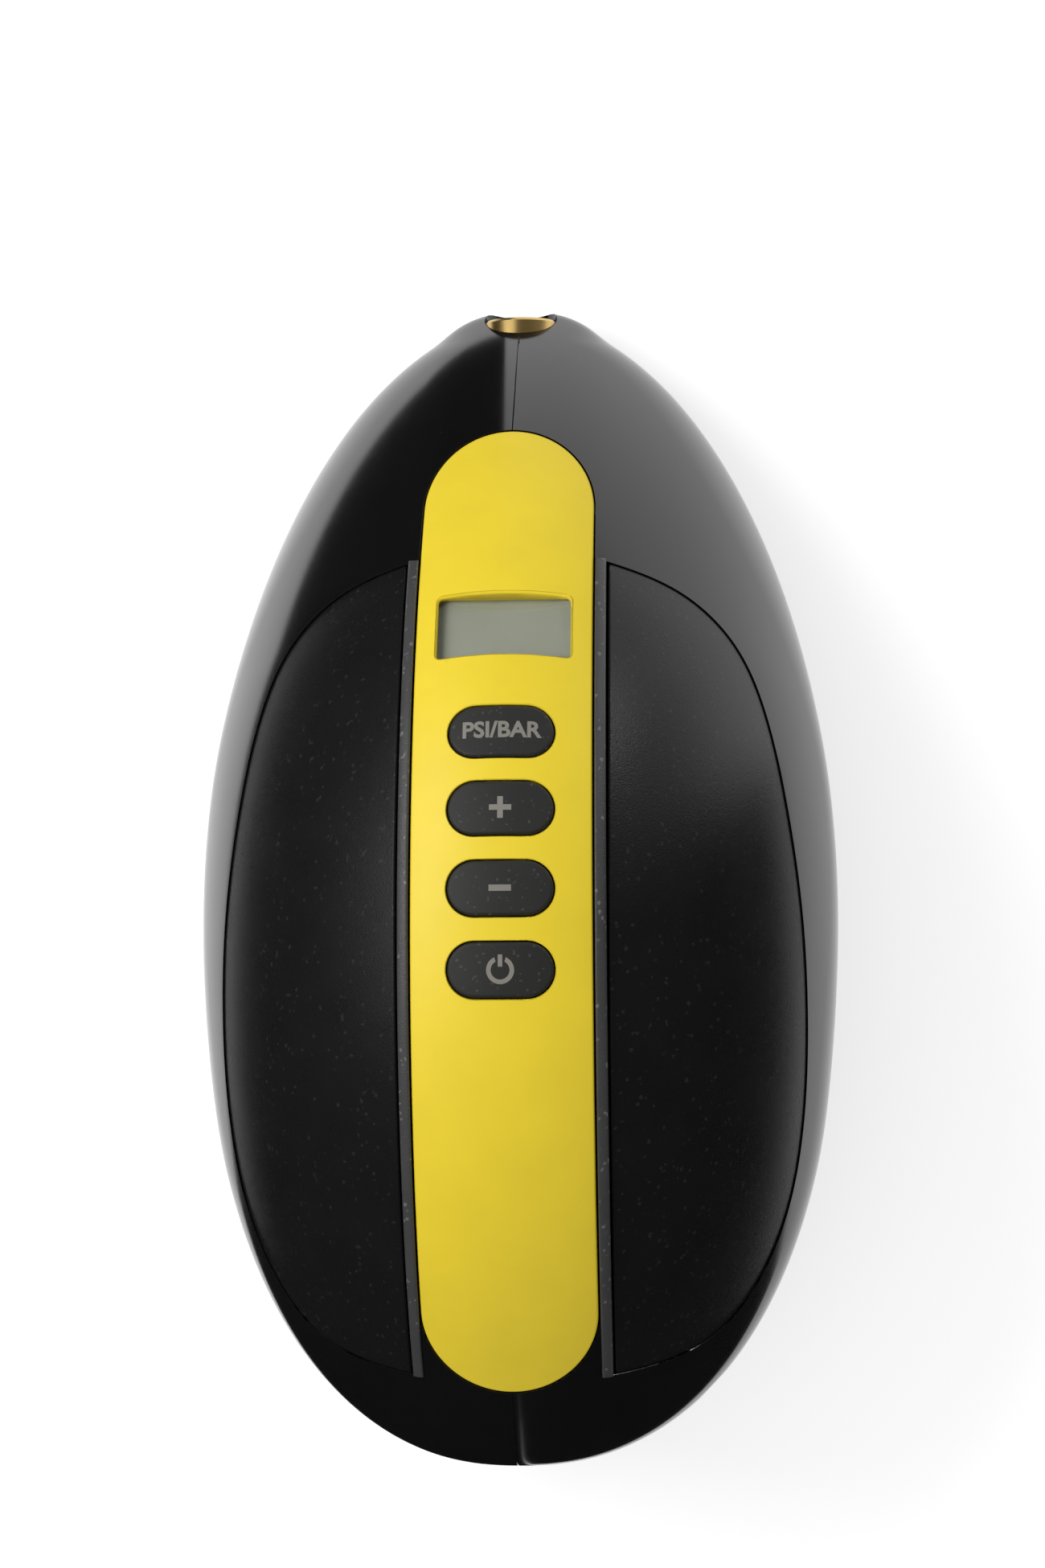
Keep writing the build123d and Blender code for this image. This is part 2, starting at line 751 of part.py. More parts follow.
with BuildPart() as rod_bearing:
    with Locations(along_x(rod_back_x, pin_y, crank_z)):
        Cylinder(big_bearing_radius, rod_thickness, align=BASE)
        Cylinder(crank_pin_radius + seat_clearance, rod_thickness, align=BASE, mode=Mode.SUBTRACT)
save(rod_bearing.part, "rod_bearing")

with BuildPart() as connecting_rod:
    with BuildSketch(along_x(rod_back_x, pin_y, crank_z)):
        Circle(big_eye_radius)
        with Locations((rod_length, 0)):
            Circle(small_eye_radius)
        with Locations((rod_length / 2, 0)):
            Rectangle(rod_length, 1.4 * small_eye_radius)
        Circle(big_bearing_radius + seat_clearance, mode=Mode.SUBTRACT)
        with Locations((rod_length, 0)):
            Circle(wrist_pin_radius + running_clearance, mode=Mode.SUBTRACT)
    extrude(amount=rod_thickness)
    fillet(connecting_rod.edges().filter_by(Axis.X).filter_by(
        lambda e: abs(e.center().Z - crank_z) < small_eye_radius), 1.0)
save(connecting_rod.part, "connecting_rod")

piston_radius = bore_radius - piston_clearance
with BuildPart() as wrist_pin:
    with Locations(along_x(rod_x - 0.8 * piston_radius, wrist_y, crank_z)):
        Cylinder(wrist_pin_radius, 1.6 * piston_radius, align=BASE)
save(wrist_pin.part, "wrist_pin")

with BuildPart() as piston:
    with Locations(along_y(rod_x, piston_back_y, crank_z)):
        Cylinder(piston_radius, piston_front_y - piston_back_y, align=BASE)
    with Locations((rod_x, piston_back_y, crank_z)):
        slot_length = 2 * (piston_skirt + small_eye_radius + 0.5)
        Box(rod_thickness + 1.0, slot_length, 1.5 * piston_radius, mode=Mode.SUBTRACT)
    with Locations(along_x(rod_x - piston_radius, wrist_y, crank_z)):
        Cylinder(wrist_pin_radius + seat_clearance, 2 * piston_radius, align=BASE, mode=Mode.SUBTRACT)
    with Locations(along_y(rod_x, piston_front_y - 0.6 - seal_width, crank_z)):
        Cylinder(bore_radius, seal_width, align=BASE, mode=Mode.SUBTRACT)
        Cylinder(piston_radius - seal_depth, seal_width, align=BASE)
save(piston.part, "piston")

with BuildPart() as piston_seal:
    with Locations(along_y(rod_x, piston_front_y - 0.6 - seal_width + seat_clearance, crank_z)):
        Cylinder(bore_radius - bed_gap, seal_width - 2 * seat_clearance, align=BASE)
        Cylinder(piston_radius - seal_depth + seat_clearance, seal_width, align=BASE, mode=Mode.SUBTRACT)
save(piston_seal.part, "piston_seal")

# ---------------------------------------------------------------- cylinder and head
flange_y = web_y + web_thickness
with BuildPart() as cylinder:
    with Locations(along_y(rod_x, web_y, crank_z)):
        Cylinder(bore_radius + cylinder_wall, cylinder_end_y - web_y, align=BASE)
    with BuildSketch(along_y(rod_x, flange_y, crank_z)):
        Rectangle(head_size, head_size)
        with Locations(*head_bolt_points):
            Circle(bolt_radius + bed_gap, mode=Mode.SUBTRACT)
    extrude(amount=flange_thickness)
    with Locations(along_y(rod_x, web_y - 1, crank_z)):
        Cylinder(bore_radius, cylinder_end_y, align=BASE, mode=Mode.SUBTRACT)
save(cylinder.part, "cylinder")

with BuildPart() as head_gasket:
    with Locations(along_y(rod_x, cylinder_end_y, crank_z)):
        Cylinder(bore_radius + cylinder_wall, gasket_thickness, align=BASE)
        Cylinder(bore_radius, gasket_thickness, align=BASE, mode=Mode.SUBTRACT)
save(head_gasket.part, "head_gasket")

valve_hole = 2.0
with BuildPart() as valve_plate:
    with BuildSketch(along_y(rod_x, plate_y, crank_z)):
        Rectangle(head_size, head_size)
        with Locations(*head_bolt_points, (0, valve_hole * 2), (0, -valve_hole * 2)):
            Circle(valve_hole, mode=Mode.SUBTRACT)
    extrude(amount=valve_plate_thickness)
save(valve_plate.part, "valve_plate")

with BuildPart() as reed_valve:
    with BuildSketch(along_y(rod_x, head_y, crank_z - valve_hole)):
        SlotOverall(5 * valve_hole, 3 * valve_hole, rotation=90)
    extrude(amount=0.3)
save(reed_valve.part, "reed_valve")

with BuildPart() as cylinder_head:
    with BuildSketch(along_y(rod_x, head_y, crank_z)):
        Rectangle(head_size, head_size)
    extrude(amount=head_height)
    for rib in range(-1, 2):
        with Locations((rod_x - 3.0 * rib, head_front_y, crank_z + head_size / 2)):
            Box(1.2, head_height, 5.0, mode=Mode.SUBTRACT)
    with Locations(along_y(rod_x, head_y, crank_z)):
        Cylinder(bore_radius - 1.0, head_height / 2, align=BASE, mode=Mode.SUBTRACT)
    with Locations(along_y(rod_x, head_front_y, crank_z - nipple_drop)):
        Cylinder(nipple_radius, nipple_length, align=BASE)
    with Locations(along_y(rod_x, head_y + 1, crank_z - nipple_drop)):
        Cylinder(nipple_radius - 1.0, head_height + nipple_length, align=BASE, mode=Mode.SUBTRACT)
    with BuildSketch(along_y(rod_x, head_y, crank_z)):
        with Locations(*head_bolt_points):
            Circle(bolt_radius + bed_gap)
    extrude(amount=head_height, mode=Mode.SUBTRACT)
save(cylinder_head.part, "cylinder_head")

with BuildPart() as head_bolts:
    for x, z in head_bolt_points:
        add(screw(along_y(rod_x + x, head_front_y, crank_z + z), bolt_radius, head_front_y - web_y - 0.5))
save(head_bolts.part, "head_bolts")

with BuildPart() as pressure_sensor:
    with Locations((rod_x + 8.0, head_y + head_height / 2, crank_z + head_size / 2)):
        Cylinder(3.6, 3.0, align=BASE)
        Cylinder(2.6, 6.0, align=BASE)
save(pressure_sensor.part, "pressure_sensor")

# ---------------------------------------------------------------- air line and outlet
with BuildPart() as outlet_fitting:
    with Locations(along_y(0, fitting_back_y + 2.3, port_z)):
        Cylinder(fitting_radius, fitting_length - 2.3, align=BASE)
    with Locations(along_y(0, fitting_back_y, port_z)):
        Cylinder(fitting_radius + fitting_lip, 2.3, align=BASE)
    with Locations(along_y(0, fitting_back_y - nipple_length, port_z)):
        Cylinder(nipple_radius, nipple_length, align=BASE)
        Cylinder(nipple_radius - 1.0, 2 * fitting_length, align=BASE, mode=Mode.SUBTRACT)
    with Locations(along_y(0, fitting_face_y - thread_depth, port_z)):
        Cylinder(thread_radius, thread_depth, align=BASE, mode=Mode.SUBTRACT)
    rim = outlet_fitting.edges().filter_by(GeomType.CIRCLE).group_by(Axis.Y)[-1].sort_by(SortBy.RADIUS)
    chamfer(rim[-1], 0.5)
save(outlet_fitting.part, "outlet_fitting")

tube_inner = nipple_radius + seat_clearance
tube_start, tube_end = head_front_y + 0.3, fitting_back_y - 0.3
tube_run = (tube_end - tube_start) / 3.4
tube_path = [
    (rod_x, tube_start, crank_z - nipple_drop), (rod_x, tube_start + tube_run, crank_z - nipple_drop),
    (0, tube_end - tube_run, port_z), (0, tube_end, port_z),
]
slant = Vector(*tube_path[2]) - Vector(*tube_path[1])
half_turn = radians(slant.get_angle(Vector(0, 1, 0)) / 2)
tube_bend = 0.45 * min(tube_run, slant.length) / tan(half_turn)
print("air tube bend radius", round(tube_bend, 2))
with BuildPart() as air_tube:
    with BuildLine():
        FilletPolyline(*tube_path, radius=tube_bend)
    with BuildSketch(along_y(*tube_path[0])):
        Circle(tube_inner + tube_wall)
        Circle(tube_inner, mode=Mode.SUBTRACT)
    sweep()
save(air_tube.part, "air_tube")

# ---------------------------------------------------------------- motor
motor_back_x = frame_x - motor_length
with BuildPart() as motor_can:
    with Locations(along_x(motor_back_x + motor_cap, motor_y, crank_z)):
        Cylinder(motor_radius, motor_length - motor_cap, align=BASE)
        bore_length = motor_length - motor_cap - motor_wall
        Cylinder(motor_radius - motor_wall, bore_length, align=BASE, mode=Mode.SUBTRACT)
        Cylinder(motor_shaft_radius + running_clearance, motor_length, align=BASE, mode=Mode.SUBTRACT)
    for z in motor_screw_heights:
        with Locations(along_x(frame_x - 2 * motor_wall, motor_y, z)):
            Cylinder(screw_radius + bed_gap, 3 * motor_wall, align=BASE, mode=Mode.SUBTRACT)
save(motor_can.part, "motor_can")

with BuildPart() as motor_end_cap:
    with Locations(along_x(motor_back_x, motor_y, crank_z)):
        Cylinder(motor_radius - motor_wall, motor_cap, align=BASE)
        Cylinder(motor_shaft_radius + running_clearance, motor_cap, align=BASE, mode=Mode.SUBTRACT)
save(motor_end_cap.part, "motor_end_cap")

magnet_outer = motor_radius - motor_wall - bed_gap
with BuildPart() as motor_magnets:
    with Locations(along_x(motor_back_x + motor_cap + 4.0, motor_y, crank_z)):
        Cylinder(magnet_outer, armature_length + 4.0, align=BASE)
        Cylinder(magnet_outer - magnet_thickness, armature_length + 4.0, align=BASE, mode=Mode.SUBTRACT)
    with Locations((motor_back_x + motor_length / 2, motor_y, crank_z)):
        Box(motor_length, 0.9 * motor_radius, 3 * motor_radius, mode=Mode.SUBTRACT)
save(motor_magnets.part, "motor_magnets")

with BuildPart() as motor_shaft:
    with Locations(along_x(motor_back_x + 0.5, motor_y, crank_z)):
        Cylinder(motor_shaft_radius, motor_length - 0.5 + frame_plate + frame_gap + gear_width, align=BASE)
save(motor_shaft.part, "motor_shaft")

with BuildPart() as motor_armature:
    with Locations(along_x(motor_back_x + motor_cap + 6.0, motor_y, crank_z)):
        Cylinder(armature_radius, armature_length, align=BASE)
        with PolarLocations(armature_radius, 5):
            Cylinder(2.0, armature_length, align=BASE, mode=Mode.SUBTRACT)
    with Locations(along_x(motor_back_x + motor_cap + 1.0, motor_y, crank_z)):
        Cylinder(4.0, 5.0, align=BASE)
        Cylinder(motor_shaft_radius + seat_clearance, motor_length, align=BASE, mode=Mode.SUBTRACT)
save(motor_armature.part, "motor_armature")

with BuildPart() as motor_screws:
    for z in motor_screw_heights:
        add(screw(along_x(frame_x + frame_plate, motor_y, z), screw_radius, frame_plate + 2 * motor_wall))
save(motor_screws.part, "motor_screws")

# ---------------------------------------------------------------- battery
cell_rows = [(side, row) for side in (-1, 1) for row in (0, 1)]
cell_places = [(battery_y + side * cell_pitch / 2, cell_z + row * cell_pitch) for side, row in cell_rows]
with BuildPart() as battery_cells:
    for y, z in cell_places:
        with Locations(along_x(-cell_length / 2, y, z)):
            Cylinder(cell_radius, cell_length, align=BASE)
            with Locations((0, 0, cell_length)):
                Cylinder(cell_radius / 3, 0.8, align=BASE)
save(battery_cells.part, "battery_cells")

tray_half_x = cell_length / 2 + 1.4
with BuildPart() as battery_tray:
    with Locations((0, battery_y, frame_z)):
        Box(2 * (tray_half_x + tray_wall), 1.35 * cell_pitch, tray_floor, align=BASE)
    for side in (-1, 1):
        with Locations((side * (tray_half_x + tray_wall / 2), battery_y, frame_z)):
            Box(tray_wall, 1.2 * cell_pitch, cell_z + cell_pitch / 2 - frame_z, align=BASE)
    for x in (-0.36 * cell_length, 0, 0.36 * cell_length):
        with Locations((x, battery_y, frame_z)):
            Box(3.0, 1.3 * cell_pitch, cell_z - frame_z - 2.0, align=BASE)
    for y, z in cell_places:
        with Locations(along_x(-cell_length / 2 - 1, y, z)):
            Cylinder(cell_radius + fit_gap, cell_length + 2, align=BASE, mode=Mode.SUBTRACT)
    for x, y in tray_posts:
        with Locations((x, y, frame_z)):
            Cylinder(screw_head_radius + fit_gap, cell_z, align=BASE, mode=Mode.SUBTRACT)
    for x, y in tray_posts:
        with Locations((x, y, frame_z)):
            Cylinder(screw_head_radius + fit_gap, tray_floor, align=BASE)
            Cylinder(screw_radius + bed_gap, tray_floor, align=BASE, mode=Mode.SUBTRACT)
save(battery_tray.part, "battery_tray")

with BuildPart() as tray_screws:
    for x, y in tray_posts:
        seat = Plane(origin=(x, y, frame_z + tray_floor), x_dir=(1, 0, 0), z_dir=(0, 0, 1))
        add(screw(seat, screw_radius, tray_floor + post_height + wall / 2))
save(tray_screws.part, "tray_screws")

with BuildPart() as cell_links:
    for side in (-1, 1):
        reach = cell_length / 2 + (0.8 if side > 0 else 0.0)
        for row in (0, 1):
            with Locations((side * (reach + 0.15), battery_y, cell_z + row * cell_pitch)):
                Box(0.3, 1.5 * cell_pitch, 0.8 * cell_radius)
save(cell_links.part, "cell_links")

# ---------------------------------------------------------------- charging inlet
with BuildPart() as charging_inlet:
    with Locations(along_y(0, inlet_face_y, inlet_z)):
        Cylinder(inlet_radius, inlet_depth + 3.5, align=BASE)
        Cylinder(inlet_bore, inlet_depth, align=BASE, mode=Mode.SUBTRACT)
        Cylinder(inlet_pin, inlet_depth, align=BASE)
    with Locations(along_y(0, inlet_face_y + inlet_depth - 2.5, inlet_z)):
        Cylinder(inlet_radius + 1.6, 1.8, align=BASE)
        Cylinder(inlet_bore, 1.8, align=BASE, mode=Mode.SUBTRACT)
        Cylinder(inlet_pin, 1.8, align=BASE)
save(charging_inlet.part, "charging_inlet")
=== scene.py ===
import math

import bmesh
import bpy
import numpy as np
from mathutils import Matrix, Vector


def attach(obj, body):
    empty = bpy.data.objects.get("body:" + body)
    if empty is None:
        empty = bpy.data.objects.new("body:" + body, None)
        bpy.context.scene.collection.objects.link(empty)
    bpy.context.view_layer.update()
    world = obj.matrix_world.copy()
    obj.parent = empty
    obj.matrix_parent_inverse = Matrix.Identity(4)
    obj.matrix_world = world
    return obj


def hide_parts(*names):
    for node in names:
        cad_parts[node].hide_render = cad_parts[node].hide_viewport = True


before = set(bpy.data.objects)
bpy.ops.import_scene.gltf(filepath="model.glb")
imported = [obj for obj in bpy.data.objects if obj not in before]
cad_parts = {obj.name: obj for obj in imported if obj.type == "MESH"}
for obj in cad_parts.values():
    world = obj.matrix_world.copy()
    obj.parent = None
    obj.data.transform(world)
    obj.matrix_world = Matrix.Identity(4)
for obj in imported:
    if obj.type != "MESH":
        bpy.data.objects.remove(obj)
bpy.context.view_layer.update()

# Sizes are in millimetres until a mesh is made. +Z is up and +Y points to the nose.
mm = 0.001
scene = bpy.context.scene

# The crowned back and the bellied side walls that every outer piece follows.
form = {
    "height": 102.0, "halfWidth": 59.0, "nose": 109.0, "tail": 108.2, "widestY": -6.0,
    "tailFullness": 2.4, "apexY": -21.0, "backRadius": 119.0, "noseStart": 40.0,
    "noseRadius": 230.0, "spineRadius": 40.0, "spineHalf": 17.4, "flankRadius": 78.0,
    "stand": 3.0, "wall": 3.0,
}
spineTurn = math.asin(form["spineHalf"] / form["spineRadius"])
flankSide = -(form["flankRadius"] - form["spineRadius"]) * math.sin(spineTurn)
flankDrop = -(form["flankRadius"] - form["spineRadius"]) * math.cos(spineTurn)
noseTurn = math.radians(form["noseStart"])
backCentre = np.array([form["apexY"], form["height"] - form["backRadius"]])
noseShift = form["backRadius"] - form["noseRadius"]
noseCentre = backCentre + noseShift * np.array([math.sin(noseTurn), math.cos(noseTurn)])


# Surface formulas; a distance is below zero inside.
def unit(vectors):
    return vectors / np.maximum(np.linalg.norm(vectors, axis=-1, keepdims=True), 1e-12)


def leaning(lean, pitch):
    return np.stack([np.sin(lean), np.cos(lean) * np.sin(pitch), np.cos(lean) * np.cos(pitch)], -1)


def crownDistance(p, inset=0.0):
    across = np.abs(p[..., 0])
    back, nose = p[..., 1:] - backCentre, p[..., 1:] - noseCentre
    onNose = np.arctan2(back[..., 0], back[..., 1]) > noseTurn
    backRise = np.hypot(back[..., 0], back[..., 1]) - form["backRadius"]
    noseRise = np.hypot(nose[..., 0], nose[..., 1]) - form["noseRadius"]
    rise = np.where(onNose, noseRise, backRise) + form["spineRadius"]
    spine = np.hypot(across, rise) - form["spineRadius"]
    flank = np.hypot(across - flankSide, rise - flankDrop) - form["flankRadius"]
    flank = np.where(rise < flankDrop, across - flankSide - form["flankRadius"], flank)
    return np.where(np.arctan2(across, rise) <= spineTurn, spine, flank) + inset


def crossSection(x, inset):
    # height of the cross profile over the spine's centre, and its lean
    across = np.abs(x)
    spineRound, flankRound = form["spineRadius"] - inset, form["flankRadius"] - inset
    onSpine = across <= spineRound * math.sin(spineTurn)
    spineLean = np.arcsin(np.clip(across / spineRound, 0, 1))
    flankLean = np.arcsin(np.clip((across - flankSide) / flankRound, 0, 1))
    rise = np.where(onSpine, spineRound * np.cos(spineLean), flankDrop + flankRound * np.cos(flankLean))
    return rise, np.where(onSpine, spineLean, flankLean) * np.sign(x)


def crownAt(x, y, inset=0.0):
    # point and normal of the crown straight above a place on the plan
    rise, lean = crossSection(x, inset)
    made = []
    for centre, radius in ((backCentre, form["backRadius"]), (noseCentre, form["noseRadius"])):
        reach = radius - form["spineRadius"] + rise
        z = centre[1] + np.sqrt(np.maximum(reach ** 2 - (y - centre[0]) ** 2, 0))
        made.append((z, np.arctan2(y - centre[0], z - centre[1])))
    onNose = made[0][1] > noseTurn
    z, pitch = np.where(onNose, made[1][0], made[0][0]), np.where(onNose, made[1][1], made[0][1])
    return np.stack([x, y, z], -1), leaning(lean, pitch)


def backAt(angle, x, s, inset=0.0, depth=None):
    # the same from a plane on the back at an angle: x across it, s along it towards the nose
    turn, radius = math.radians(angle), form["backRadius"]
    rise, lean = crossSection(x, inset)
    reach = radius - form["spineRadius"] + rise
    out = np.sqrt(reach ** 2 - s ** 2) if depth is None else np.full(np.shape(x), radius - depth)
    pitch = turn + np.arctan2(s, out)
    y = backCentre[0] + out * math.sin(turn) + s * math.cos(turn)
    z = backCentre[1] + out * math.cos(turn) - s * math.sin(turn)
    return np.stack([x, y, z], -1), leaning(lean, pitch)


def naturalSpline(knots, values):
    # smooth curve through values at knots
    knots, values = np.asarray(knots, float), np.asarray(values, float)
    gaps, count = np.diff(knots), len(knots)
    system, right = np.eye(count), np.zeros(values.shape)
    for i in range(1, count - 1):
        system[i, i - 1:i + 2] = gaps[i - 1], 2 * (gaps[i - 1] + gaps[i]), gaps[i]
        right[i] = 6 * ((values[i + 1] - values[i]) / gaps[i] - (values[i] - values[i - 1]) / gaps[i - 1])
    bend = np.linalg.solve(system, right)

    def curve(t):
        t = np.clip(t, knots[0], knots[-1])
        i = np.clip(np.searchsorted(knots, t) - 1, 0, count - 2)
        shape = (...,) + (None,) * (values.ndim - 1)
        gap, after, before = gaps[i][shape], (knots[i + 1] - t)[shape], (t - knots[i])[shape]
        ends = values[i] * after / gap + values[i + 1] * before / gap
        pull = bend[i] * (after ** 3 / gap - gap * after) + bend[i + 1] * (before ** 3 / gap - gap * before)
        return ends + pull / 6
    return curve


# height, then how far side, nose and tail draw in there
wallLevels = np.array([
    (3.0, 4.8, 4.0, 3.5), (14.0, 2.0, 0.0, 1.0), (32.0, 0.2, 1.5, 0.0),
    (47.94, 0.0, 8.0, 0.4), (66.3, 2.7, 17.0, 3.0), (106.08, 15.3, 43.0, 15.0),
])
wallDraw = naturalSpline(wallLevels[:, 0], wallLevels[:, 1:])


def smoothStep(low, high, value):
    share = np.clip((value - low) / (high - low), 0, 1)
    return share * share * (3 - 2 * share)


def wallDistance(p, inset=0.0):
    drawn = wallDraw(p[..., 2])
    along = p[..., 1] - form["widestY"]
    side = form["halfWidth"] - drawn[..., 0] - inset
    front = form["nose"] - drawn[..., 1] - inset - form["widestY"]
    rear = form["tail"] - drawn[..., 2] - inset + form["widestY"]
    reach = np.where(along > 0, front, rear)
    u, w = np.abs(p[..., 0]) / side + 1e-9, np.abs(along) / reach + 1e-9
    power = 2 + (form["tailFullness"] - 2) * smoothStep(0.0, 0.5, np.where(along > 0, 0, w))
    whole = (u ** power + w ** power) ** (1 / power)
    steep = np.hypot(u ** (power - 1) / side, w ** (power - 1) / reach) * whole ** (1 - power)
    return (whole - 1) / steep


def smoothMax(a, b, width):
    near = np.maximum(width - np.abs(a - b), 0) / width
    return np.maximum(a, b) + near * near * width / 4


shoulder = {"narrow": 1.8, "wide": 7.5, "fromY": 10.0, "toY": 85.0, "fade": (100.0, 107.0), "foot": 3.0}


def formDistance(p, inset=0.0):
    share = smoothStep(shoulder["fromY"], shoulder["toY"], p[..., 1])
    share = share * (1 - smoothStep(*shoulder["fade"], p[..., 1]))
    width = shoulder["narrow"] + (shoulder["wide"] - shoulder["narrow"]) * share
    upper = smoothMax(crownDistance(p, inset), wallDistance(p, inset), width)
    return smoothMax(upper, form["stand"] + inset - p[..., 2], shoulder["foot"])


def normalsOf(distance):
    # unit gradient of a distance formula, taken by differences
    def normals(p):
        return unit(np.stack([distance(p + shift) - distance(p - shift) for shift in 0.02 * np.eye(3)], -1))
    return normals


def crownRule(inset, reach, limit):
    # shading rule for a face that lies an inset under the crown
    return lambda p: crownDistance(p, inset), normalsOf(crownDistance), reach, limit


# Mesh making.
def addPiece(name, mesh):
    piece = bpy.data.objects.new(name, mesh)
    scene.collection.objects.link(piece)
    return piece


def meshPiece(name, points, faces, loopNormals=None):
    mesh = bpy.data.meshes.new(name)
    mesh.from_pydata((np.asarray(points) * mm).tolist(), [], faces)
    mesh.shade_smooth()
    if loopNormals is not None:
        mesh.normals_split_custom_set(loopNormals.tolist())
    return addPiece(name, mesh)


def finalMesh(piece):
    return bpy.data.meshes.new_from_object(piece.evaluated_get(bpy.context.evaluated_depsgraph_get()))


def loftSolid(name, rings, closed=False):
    # plain solid through rings of points, with flat ends or closed on itself
    index = np.arange(len(rings) * len(rings[0])).reshape(len(rings), -1)
    low, high = (index, np.roll(index, -1, 0)) if closed else (index[:-1], index[1:])
    faces = np.stack([low, np.roll(low, -1, 1), np.roll(high, -1, 1), high], -1).reshape(-1, 4).tolist()
    if not closed:
        faces += [index[0, ::-1].tolist(), index[-1].tolist()]
    return meshPiece(name, np.concatenate(rings), faces)


def rods(name, starts, axis, radius, length, count):
    # round solids of one size, each from its start along a unit axis
    side = unit(np.cross(axis, (1, 0, 0) if axis[2] else (0, 0, 1)))
    turns = np.linspace(0, 2 * math.pi, count, endpoint=False)[:, None]
    circle = radius * (np.cos(turns) * side + np.sin(turns) * np.cross(axis, side))
    return [loftSolid(f"{name}{i}", [start + circle, start + length * axis + circle])
            for i, start in enumerate(np.array(starts, float))]


def boxPoints(halfWidth, halfHeight, middle=(0, 0)):
    return [(middle[0] + sx * halfWidth, middle[1] + sy * halfHeight)
            for sx, sy in ((-1, -1), (1, -1), (1, 1), (-1, 1))]


def prismSolid(name, plan, low, high):
    plan = np.array(plan, float)
    return loftSolid(name, [np.column_stack([plan, np.full(len(plan), z)]) for z in (low, high)])


def ringSolid(name, rings):
    # closed solid from rings of points, each with the normals that the bands below and above it use
    count = len(rings[0][0])
    nextOne = (np.arange(count) + 1) % count
    points = [ring[0] for ring in rings]
    faces, normals = [], []
    for i in range(len(rings) - 1):
        a, b = i * count + np.arange(count), i * count + nextOne
        faces.append(np.stack([a, b, b + count, a + count], -1))
        low, high = rings[i][2], rings[i + 1][1]
        normals.append(np.stack([low, low[nextOne], high[nextOne], high], 1).reshape(-1, 3))
    quads = np.concatenate(faces).tolist()
    ends, endNormals, total = [], [], count * len(rings)
    for ring, first, flip in ((rings[0], 0, True), (rings[-1], total - count, False)):
        cap = ring[1] if flip else ring[2]
        middle, lean = ring[0].mean(0), cap.mean(0)
        points.append(middle[None])
        centre = total + len(ends) // count
        for k in range(count):
            pair = (first + nextOne[k], first + k) if flip else (first + k, first + nextOne[k])
            ends.append((int(pair[0]), int(pair[1]), centre))
            own = (cap[nextOne[k]], cap[k]) if flip else (cap[k], cap[nextOne[k]])
            endNormals.extend([own[0], own[1], lean])
    loopNormals = np.concatenate(normals + [np.array(endNormals)])
    return meshPiece(name, np.concatenate(points), quads + ends, loopNormals)


def outwardNormals(outline):
    # mitred plan normals of a closed outline that runs anticlockwise
    own = unit(np.roll(outline, -1, 0) - outline)[:, ::-1] * (1, -1)
    before = np.roll(own, 1, 0)
    total = own + before
    return total / (1 + (own * before).sum(1, keepdims=True))


def slotOutline(halfWidth, halfLength, count=24):
    # straight long sides in the second direction, round ends
    turns = np.linspace(0, math.pi, count)
    end = np.stack([halfWidth * np.cos(turns), halfLength - halfWidth + halfWidth * np.sin(turns)], -1)
    run = np.linspace(1, -1, count + 2)[1:-1] * (halfLength - halfWidth)
    left = np.stack([np.full(count, -halfWidth), run], -1)
    return np.concatenate([end, left, -end, -left])


def roundedBox(halfWidth, halfLength, corner, count=6, along=14):
    # anticlockwise, with points along the straight sides too
    middles = np.array([(1, 1), (-1, 1), (-1, -1), (1, -1)]) * (halfWidth - corner, halfLength - corner)
    shares, made = np.linspace(0, 1, along + 2)[1:-1, None], []
    for quarter, (middle, following) in enumerate(zip(middles, np.roll(middles, -1, 0))):
        turns = np.linspace(0, math.pi / 2, count) + quarter * math.pi / 2
        arc = middle + corner * np.stack([np.cos(turns), np.sin(turns)], -1)
        made += [arc, arc[-1] + shares * (following - middle)]
    return np.concatenate(made)


def layerSolid(name, outline, topInset, bottomInset, edge=0.0, rows=20):
    # plate that follows the crown, with upright walls and a rounded upper edge
    outward = outwardNormals(outline)
    flat = unit(np.concatenate([outward, np.zeros((len(outline), 1))], 1))
    middle = outline.mean(0)
    rings = []
    for share in (0.3, 0.65):
        plan = middle + (outline - middle) * share
        points, normals = crownAt(plan[:, 0], plan[:, 1], bottomInset)
        rings.append((points, -normals, -normals))
    points, normals = crownAt(outline[:, 0], outline[:, 1], bottomInset)
    rings.append((points, -normals, flat))
    steps = 6 if edge else 1
    for step in range(steps):
        lift = math.pi / 2 * step / steps
        plan = outline - edge * (1 - math.cos(lift)) * outward
        points, normals = crownAt(plan[:, 0], plan[:, 1], topInset + edge * (1 - math.sin(lift)))
        lean = unit(flat * math.cos(lift) + normals * math.sin(lift))
        rings.append((points, lean if edge else flat, lean if edge else normals))
    rim = outline - edge * outward
    for share in np.linspace(1, 0.02, rows + 1)[0 if edge else 1:]:
        plan = middle + (rim - middle) * share
        points, normals = crownAt(plan[:, 0], plan[:, 1], topInset)
        rings.append((points, normals, normals))
    return ringSolid(name, rings)


